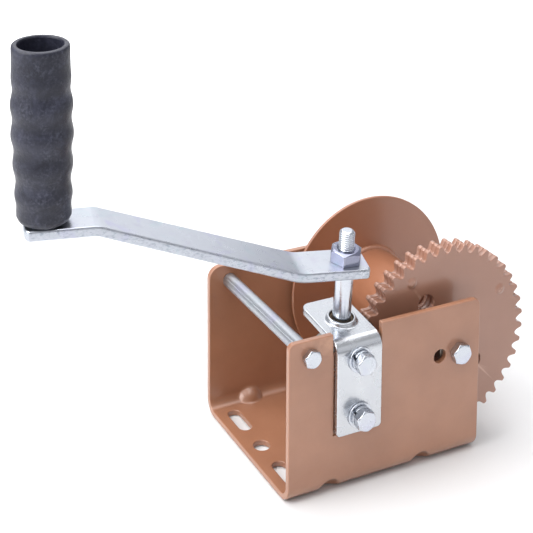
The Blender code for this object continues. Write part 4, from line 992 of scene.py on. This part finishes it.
def weld_bead(radius, y, direction, leg, ripples, seed, n=420):
    """Fillet weld round the core: overlapping half-moon ripples that swell and wander a little."""
    rng = np.random.default_rng(seed)
    ph = rng.uniform(0, 2 * PI, 6)
    amp = rng.uniform(0.4, 1.0, 6)
    rings = []
    m = 12
    for i in range(n):
        a = 2 * PI * i / n
        wander = sum(amp[k] * math.sin((k + 2) * a + ph[k]) for k in range(6)) / 6
        ring = []
        for j in range(m + 1):
            q = j / m                                     # 0 on the core, 1 on the plate
            lag = 0.16 * math.sin(PI * q)                 # ripples bow along the bead
            f = (a * ripples / (2 * PI) + lag) % 1.0
            rip = abs(math.sin(PI * f)) ** 0.6
            s = leg * (0.92 + 0.14 * wander)
            th = PI / 2 * q
            bulge = s * (0.62 + 0.13 * rip)
            # from (0, s) along the core to (s, 0) along the plate
            x = s * (1 - math.cos(th)) * 0.0 + s * q
            z = s * (1 - q)
            nx, nz = math.sqrt(0.5), math.sqrt(0.5)
            b = bulge * 0.42 * math.sin(PI * q) + 0.10 * rip * math.sin(PI * q)
            x, z = x * 1.0 + nx * b - 0.35 * (1 - q) * 0.6, z + nz * b - 0.35 * q * 0.6
            ring.append(((radius + x) * math.cos(a), (radius + x) * math.sin(a), y + direction * z))
        ring.append(((radius - 0.3) * math.cos(a), (radius - 0.3) * math.sin(a), y - direction * 0.3))
        rings.append(ring)
    bm = bmesh.new()
    vs = [[bm.verts.new(p) for p in r] for r in rings]
    k = m + 2
    for i in range(n):
        a_, b_ = vs[i], vs[(i + 1) % n]
        for j in range(k):
            l = (j + 1) % k
            bm.faces.new((a_[j], a_[l], b_[l], b_[j]))
    return bm


piece("drum_weld_far", weld_bead(CORE_R - 0.1, FLANGE_Y, -1, 2.9, 58, 3), paint_drum, "drum", (),
      drum_M @ TO_PLUS_Y, 60)
piece("drum_weld_near", weld_bead(CORE_R - 0.1, GEAR_Y1, 1, 3.8, 62, 7), paint_drum, "drum", (),
      drum_M @ TO_PLUS_Y, 60)
RUN = 0.2
piece("drum_bush_near_skin", ring_part(BORE_R - 0.3, SLEEVE_R + RUN, GEAR_Y0 - 1.0, GEAR_Y1 + 1.0, 0.3, 0.2), bronze, "drum",
      ["drum_bush_near"], drum_M @ TO_PLUS_Y)
piece("drum_bush_far_skin", turned(fillet([(SLEEVE_R + RUN, FLANGE_Y - 9.0, 0.2), (13.0, FLANGE_Y - 9.0, 0.4),
                                           (13.0, FLANGE_Y - 0.3, 0.2), (BORE_R - 0.3, FLANGE_Y - 0.3, 0.1),
                                           (BORE_R - 0.3, FLANGE_Y + FLANGE_T + 0.6, 0.3),
                                           (SLEEVE_R + RUN, FLANGE_Y + FLANGE_T + 0.6, 0.2)], 3), 96, True), bronze, "drum",
      ["drum_bush_far"], drum_M @ TO_PLUS_Y)

# ---------------------------------------------------------------- worm
_k = round((PI - GEAR_PHASE) / (2 * PI / GEAR_N))
_tooth = GEAR_PHASE + _k * 2 * PI / GEAR_N
WORM_H0 = GEAR_PITCH_R * math.sin(_tooth) / math.cos(LEAD) + WORM_LEAD_MM / 2
CORE_H, COIL_H, HUB_TOP, HUB_BOT, PIN_H = 19.6, 14.6, 21.2, -27.0, -23.3


def worm_body():
    """Core and single left-hand thread as one swept surface, with run-outs at both ends."""
    n, rows_n = 112, 240
    z0, z1 = -CORE_H, CORE_H
    rings = [circ_ring(SHAFT_R + 0.3, HUB_BOT, n, 0), circ_ring(10.2, HUB_BOT, n, 0), circ_ring(10.9, HUB_BOT + 0.5, n, 0),
             circ_ring(11.0, HUB_BOT + 0.9, n, 0), circ_ring(11.0, z0 - 0.01, n, 0)]

    def half(r):
        return WORM_THREAD_S / 2 - (r - WORM_RP) * math.tan(math.radians(20.0))
    w_tip, w_root = half(WORM_OR), half(WORM_CORE_R)
    for k in range(rows_n + 1):
        z = z0 + (z1 - z0) * k / rows_n
        end = min(1.0, (z - z0) / 0.8, (z1 - z) / 0.8)
        core = WORM_CORE_R - 0.8 * (1 - end)
        ring = []
        for i in range(n):
            a = 2 * PI * i / n
            turn = (z - WORM_H0) / WORM_LEAD_MM + a / (2 * PI)
            dz = abs(turn - round(turn)) * WORM_LEAD_MM
            crest = WORM_H0 + (round(turn) - a / (2 * PI)) * WORM_LEAD_MM
            e = min(1.0, max(0.0, (COIL_H - abs(crest)) / (WORM_LEAD_MM / 6)))
            ro = core + (WORM_OR - core) * math.sin(e * PI / 2)
            if dz <= w_tip - 0.2:
                r = ro
            else:
                f = min(1.0, (dz - (w_tip - 0.2)) / (w_root - w_tip + 0.2))
                r = ro + (core - ro) * f
            ring.append((r * math.cos(a), r * math.sin(a), z))
        rings.append(ring)
    rings += [circ_ring(10.0, z1 + 0.01, n, 0), circ_ring(10.0, HUB_TOP - 0.3, n, 0), circ_ring(9.7, HUB_TOP, n, 0),
              circ_ring(SHAFT_R + 0.3, HUB_TOP, n, 0)]
    return ring_stack(rings, closed=True)


worm = piece("worm_skin", worm_body(), steel_turned, "crank", ["worm"], crank_M, 50)

shaft_n = 96
_rings = [circ_ring(SHAFT_R - 0.8, SHAFT_H0, shaft_n, 0), circ_ring(SHAFT_R, SHAFT_H0 + 0.8, shaft_n, 0),
          circ_ring(SHAFT_R, SHAFT_H1 - 0.45, shaft_n, 0), circ_ring(SHAFT_R - 0.15, SHAFT_H1 - 0.12, shaft_n, 0),
          circ_ring(SHAFT_R - 0.45, SHAFT_H1, shaft_n, 0)]


def keyed_ring(r, flat, z, n, a0):
    """Double-D section whose flats lie along the arm's own X."""
    out = []
    for i in range(n):
        a = 2 * PI * i / n
        x, y = r * math.cos(a), max(-flat, min(flat, r * math.sin(a)))
        out.append((x * math.cos(a0) - y * math.sin(a0), x * math.sin(a0) + y * math.cos(a0), z))
    return out


_psi = math.atan2(_h.y, _h.x)
_rings += [keyed_ring(STEM_R, STEM_FLAT, SHAFT_H1 + 0.01, shaft_n, _psi), keyed_ring(STEM_R, STEM_FLAT, ARM_H - 0.6, shaft_n, _psi)]
_rings += [circ_ring(THREAD_MIN, ARM_H - 0.2, shaft_n, _psi)]
_rings += thread_rows(THREAD_R, THREAD_MIN + 0.30, THREAD_P, ARM_H + 0.2, SHAFT_TOP - 0.35, shaft_n, _psi, 12, 1.0, 1.25, fade=False)
_last = _rings[-1]
_rings.append([(x * 0.90, y * 0.90, z + 0.22) for x, y, z in _last])
_rings.append([(x * 0.66, y * 0.66, z + 0.35) for x, y, z in _last])
piece("worm_shaft_skin", ring_stack(_rings), zinc_rod, "crank", ["worm_shaft"], crank_M, 42)
piece("worm_pin_skin", turned(fillet([(0.5, -10.6, 0), (2.5, -10.6, 0.5), (2.5, 10.6, 0.5), (0.5, 10.6, 0)], 4, False), 48),
      steel_turned, "crank", ["worm_pin"], crank_M @ T(0, 0, PIN_H) @ Matrix.Rotation(PI / 2, 4, 'Y'))

# ---------------------------------------------------------------- crank arm
A_ANG = math.atan2(ARM_RISE, ARM_K1 - ARM_K2)
A_OUT = GRIP_PITCH
A_R1, A_R2 = 24.0, 17.8
A_D1 = A_R1 * math.tan(A_ANG / 2)
A_B = A_ANG - A_OUT
A_D2 = A_R2 * math.tan(A_B / 2)
_u = Vector((math.cos(A_ANG), 0, math.sin(A_ANG)))
K2V, K1V = Vector((ARM_K2, 0, 0)), Vector((ARM_K1, 0, ARM_RISE))
A_S1 = ARM_IN + ARM_K2 - A_D1
A_S2 = A_S1 + A_R1 * A_ANG
A_S3 = A_S2 + (K1V - K2V).length - A_D1 - A_D2
A_S4 = A_S3 + A_R2 * A_B
A_S5 = A_S4 + GRIP_ARM + ARM_OUT - A_D2


def arm_surf(s, y, d):
    """Bar laid along its bent path; depth runs down from the top face, with the outer part slightly twisted."""
    if s <= A_S1:
        p, t, w = Vector((-ARM_IN + s, 0, 0)), 0.0, 0.0
    elif s <= A_S2:
        t = (s - A_S1) / A_R1
        p = Vector((ARM_K2 - A_D1 + A_R1 * math.sin(t), 0, A_R1 * (1 - math.cos(t))))
        w = 0.0
    elif s <= A_S3:
        t = A_ANG
        w = (s - A_S2) / (A_S3 - A_S2)
        p = K2V + _u * (A_D1 + s - A_S2)
    elif s <= A_S4:
        g = (s - A_S3) / A_R2
        t = A_ANG - g
        p0 = K1V - _u * A_D2
        c = p0 - Vector((-math.sin(A_ANG), 0, math.cos(A_ANG))) * A_R2
        p = c + Vector((-math.sin(t), 0, math.cos(t))) * A_R2
        w = 1.0
    else:
        t, w = A_OUT, 1.0
        p = K1V + _d2 * (A_D2 + s - A_S4)
    F = Matrix.Rotation(-t, 3, 'Y') @ Matrix.Rotation(GRIP_TWIST * w, 3, 'X')
    return tuple(p + F @ Vector((0, y, -d)))


def bar_edge(t, inset, power, seg=14):
    """Rolled bar edge: softly crowned side running into rounded corners."""
    out = []
    for i in range(seg + 1):
        th = PI * i / seg
        x = -math.cos(th)
        out.append((inset * abs(x) ** power, t / 2 + x * t / 2))
    return out


a_lines = bend_lines(A_S1, A_S2 - A_S1, 8) + bend_lines(A_S2, A_S3 - A_S2, 10)[1:-1] + bend_lines(A_S3, A_S4 - A_S3, 8)
hw = ARM_W / 2


def ell_corner(cx, cy, sx, sy, rx, ry, n=12):
    """Quarter ellipse inside the corner (cx, cy); runs from the side (sy) to the end (sx)."""
    return [(cx - sx * rx + sx * rx * math.sin(PI / 2 * i / n), cy - sy * ry + sy * ry * math.cos(PI / 2 * i / n))
            for i in range(n + 1)]


a_out = [(s, hw) for s in a_lines]
a_out += ell_corner(A_S5, hw, 1, 1, 3.6, 7.0)
a_out += ell_corner(A_S5, -hw, 1, -1, 3.6, 7.0)[::-1]
a_out += [(s, -hw) for s in reversed(a_lines)]
a_out += ell_corner(0.0, -hw, -1, -1, 5.0, 9.0)
a_out += ell_corner(0.0, hw, -1, 1, 2.6, 4.2)[::-1]
key = [(ARM_IN + (STEM_R + 0.3) * math.cos(2 * PI * i / 64),
        max(-STEM_FLAT - 0.3, min(STEM_FLAT + 0.3, (STEM_R + 0.3) * math.sin(2 * PI * i / 64)))) for i in range(64)]
ab = plate(a_out, [key, circle(5.3, 64, A_S5 - ARM_OUT, 0)], bar_edge(ARM_T, 0.85, 6.0), arm_surf, (), (),
           [('u', s) for s in a_lines], 0.4)
piece("crank_arm_skin", ab, zinc_bar, "crank", ["crank_arm"], arm_M)
piece("crank_nut_skin", hex_nut(THREAD_R + 0.05, 19.0, 8.8, math.radians(-1.0) + PI / 6, 144, crown=0.90), zinc_nut, "crank",
      ["crank_nut"], crank_M @ T(0, 0, ARM_H + 0.05) @ Matrix.Rotation(math.radians(-6.0), 4, 'Z'))

# ---------------------------------------------------------------- grip and its spindle
piece("grip_spindle_skin", turned(fillet([(0.6, -ARM_T + 0.35, 0), (4.6, -ARM_T + 0.35, 0.9), (5.0, -ARM_T + 1.6, 0),
                                          (5.0, 20.6, 0), (9.5, 20.6, 0.4), (9.5, 23.4, 0.9), (7.6, 25.2, 1.4), (0.6, 25.2, 0)],
                                         5, False), 72), zinc_bolt, "crank", ["grip_spindle"], grip_M)
piece("grip_washer_skin", ring_part(11.0, 5.3, 0.15, 1.15, 0.3, 0.2), zinc_bolt, "crank", ["grip_washer"],
      grip_M)


def grip_radius(z):
    s = z / GRIP_LEN
    barrel = 17.05 + 1.30 * math.exp(-((z - 61.0) / 30.0) ** 2) + 0.85 * s
    fade = min(1.0, max(0.0, (z - 6.0) / 10.0)) * min(1.0, max(0.0, (GRIP_LEN - 14.0 - z) / 14.0))
    return barrel + 0.62 * fade * math.cos(2 * PI * (z - 18.4 + GRIP_Z0) / 19.4)


g_prof = [(5.3, GRIP_Z0, 0), (14.6, GRIP_Z0, 0.4), (16.1, GRIP_Z0 + 1.2, 0.8)]
_n = 150
for i in range(_n + 1):
    z = 3.4 + (GRIP_LEN - 5.6) * i / _n
    g_prof.append((grip_radius(z), GRIP_Z0 + z, 0))
g_prof += [(grip_radius(GRIP_LEN) - 0.15, GRIP_Z0 + GRIP_LEN - 0.9, 0), (grip_radius(GRIP_LEN) - 0.75, GRIP_Z0 + GRIP_LEN - 0.25, 0.3),
           (grip_radius(GRIP_LEN) - 1.5, GRIP_Z0 + GRIP_LEN, 0.4), (GRIP_BORE_R + 0.4, GRIP_Z0 + GRIP_LEN, 0.5),
           (GRIP_BORE_R, GRIP_Z0 + GRIP_LEN - 1.2, 0.3), (GRIP_BORE_R, 20.3, 0.8), (5.3, 20.3, 0.3)]
piece("grip_skin", turned(fillet(g_prof, 4), 144, True), plastic, "handle_grip", ["grip"], grip_M, 40)

# ---------------------------------------------------------------- floor, light, camera
fl = bpy.data.meshes.new("floor")
fbm = bmesh.new()
bmesh.ops.create_circle(fbm, cap_ends=True, segments=96, radius=6.0)
fbm.to_mesh(fl)
fbm.free()
floor = bpy.data.objects.new("floor", fl)
bpy.context.scene.collection.objects.link(floor)
floor.location.z = -0.0004
fn = Nodes("floor_pale")
fl.materials.append(fn.set(Base_Color=fn.ramp(fn.noise(3.0, 2.0), [(0.3, (0.70, 0.70, 0.705)), (0.7, (0.72, 0.72, 0.72))]),
                           Roughness=0.75))
# far from the winch the floor fades to plain white for the camera, like a paper sweep
f_len = fn.nt.nodes.new("ShaderNodeVectorMath")
f_len.operation = 'LENGTH'
fn.link(fn.coord, f_len.inputs[0])
f_far = fn.nt.nodes.new("ShaderNodeMapRange")
f_far.interpolation_type = 'SMOOTHSTEP'
f_far.inputs[1].default_value, f_far.inputs[2].default_value = 0.42, 1.10
fn.link(f_len.outputs["Value"], f_far.inputs[0])
f_cam = fn.nt.nodes.new("ShaderNodeLightPath")
fn.bsdf.inputs["Emission Color"].default_value = (1.0, 1.0, 1.0, 1.0)
fn.link(fn.math('MULTIPLY', f_far.outputs[0], f_cam.outputs["Is Camera Ray"]), fn.bsdf.inputs["Emission Strength"])

world = bpy.data.worlds.new("studio")
bpy.context.scene.world = world
world.use_nodes = True
wn = world.node_tree
for nd in list(wn.nodes):
    wn.nodes.remove(nd)
w_out = wn.nodes.new("ShaderNodeOutputWorld")
w_bg = wn.nodes.new("ShaderNodeBackground")
w_co = wn.nodes.new("ShaderNodeTexCoord")
w_sep = wn.nodes.new("ShaderNodeSeparateXYZ")
w_ramp = wn.nodes.new("ShaderNodeValToRGB")
w_map = wn.nodes.new("ShaderNodeMapRange")
w_map.inputs[1].default_value, w_map.inputs[2].default_value = -1.0, 1.0
wn.links.new(w_co.outputs["Generated"], w_sep.inputs[0])
wn.links.new(w_sep.outputs["Z"], w_map.inputs[0])
wn.links.new(w_map.outputs[0], w_ramp.inputs[0])
# front half of the room: dark at the horizon; back half: a pale sweep
stops = [(0.0, (0.54, 0.54, 0.54)), (0.47, (0.54, 0.54, 0.55)), (0.51, (0.47, 0.47, 0.49)), (0.57, (0.37, 0.375, 0.405)),
         (0.66, (0.42, 0.425, 0.455)), (0.80, (0.53, 0.535, 0.56)), (0.92, (0.57, 0.57, 0.585)), (1.0, (0.52, 0.52, 0.53))]
back_stops = [(0.0, (0.45, 0.45, 0.46)), (0.50, (0.60, 0.60, 0.63)), (0.57, (0.64, 0.65, 0.69)), (0.68, (0.56, 0.57, 0.61)),
              (0.80, (0.58, 0.59, 0.63)), (1.0, (0.52, 0.52, 0.53))]


def fill_ramp(node, table):
    el = node.color_ramp.elements
    while len(el) < len(table):
        el.new(0.5)
    for e, (p, c) in zip(el, table):
        e.position, e.color = p, (*c, 1.0)


fill_ramp(w_ramp, stops)
w_back = wn.nodes.new("ShaderNodeValToRGB")
fill_ramp(w_back, back_stops)
wn.links.new(w_map.outputs[0], w_back.inputs[0])
w_side = wn.nodes.new("ShaderNodeMapRange")
w_side.interpolation_type = 'SMOOTHSTEP'
w_side.inputs[1].default_value, w_side.inputs[2].default_value = -0.25, 0.55
wn.links.new(w_sep.outputs["Y"], w_side.inputs[0])
w_mix = wn.nodes.new("ShaderNodeMix")
w_mix.data_type = 'RGBA'
wn.links.new(w_side.outputs[0], w_mix.inputs[0])
wn.links.new(w_ramp.outputs[0], w_mix.inputs[6])
wn.links.new(w_back.outputs[0], w_mix.inputs[7])
# the backdrop itself is plain white where the camera looks straight at it
w_cam = wn.nodes.new("ShaderNodeLightPath")
w_white = wn.nodes.new("ShaderNodeMix")
w_white.data_type = 'RGBA'
wn.links.new(w_cam.outputs["Is Camera Ray"], w_white.inputs[0])
wn.links.new(w_mix.outputs[2], w_white.inputs[6])
w_white.inputs[7].default_value = (1.0, 1.0, 1.0, 1.0)
wn.links.new(w_white.outputs[2], w_bg.inputs[0])
w_bg.inputs[1].default_value = 1.0
wn.links.new(w_bg.outputs[0], w_out.inputs[0])


def area(name, loc, target, size, power, color=(1, 1, 1)):
    li = bpy.data.lights.new(name, 'AREA')
    li.shape = 'RECTANGLE'
    li.size, li.size_y = size
    li.energy = power
    li.color = color
    ob = bpy.data.objects.new(name, li)
    bpy.context.scene.collection.objects.link(ob)
    ob.location = loc
    d = Vector(target) - Vector(loc)
    ob.rotation_euler = d.to_track_quat('-Z', 'Y').to_euler()
    return ob


area("top_soft", (-0.15, 0.10, 1.35), (0, 0, 0.05), (2.0, 1.6), 26.0)
area("left_soft", (-1.25, 0.0, 0.95), (-0.03, 0, 0.05), (1.2, 1.1), 21.0)
area("right_front", (0.80, -1.35, 0.75), (0.02, 0, 0.08), (1.2, 1.0), 1.4)
area("back_soft", (0.5, 1.3, 0.9), (0.0, 0, 0.08), (1.2, 0.9), 2.5)

cam_data = bpy.data.cameras.new("camera")
cam = bpy.data.objects.new("camera", cam_data)
bpy.context.scene.collection.objects.link(cam)
C = Vector((-0.444745, -0.715729, 0.529012))
right = Vector((0.91058822, -0.41328655, -0.00482818))
up = Vector((0.05936584, 0.11922157, 0.99109127))
fwd = Vector((0.40902907, 0.90276267, -0.13309686))
rot = Matrix((right, up, -fwd)).transposed()
cam.matrix_world = Matrix.Translation(C) @ rot.to_4x4()
cam_data.sensor_width = 36.0
cam_data.lens = 1269.243 / 533.0 * 36.0
cam_data.clip_start, cam_data.clip_end = 0.01, 50.0
SHIFT = ((266.5 - 180.36) / 533.0, (-154.24 - 266.5) / 533.0)
# The product view is taken with a shifted lens; any other camera position uses a centred one.
for prop, val in (("shift_x", SHIFT[0]), ("shift_y", SHIFT[1])):
    drv = cam_data.driver_add(prop).driver
    drv.type = 'SCRIPTED'
    for nm, tt in (("x", 'LOC_X'), ("y", 'LOC_Y')):
        v = drv.variables.new()
        v.name = nm
        v.type = 'TRANSFORMS'
        v.targets[0].id = cam
        v.targets[0].transform_type = tt
        v.targets[0].transform_space = 'WORLD_SPACE'
    drv.expression = "%.6f if abs(x + 0.444745) < 0.0005 and abs(y + 0.715729) < 0.0005 else 0.0" % val
bpy.context.scene.camera = cam
bpy.context.scene.view_settings.view_transform = 'Standard'

bpy.context.view_layer.update()
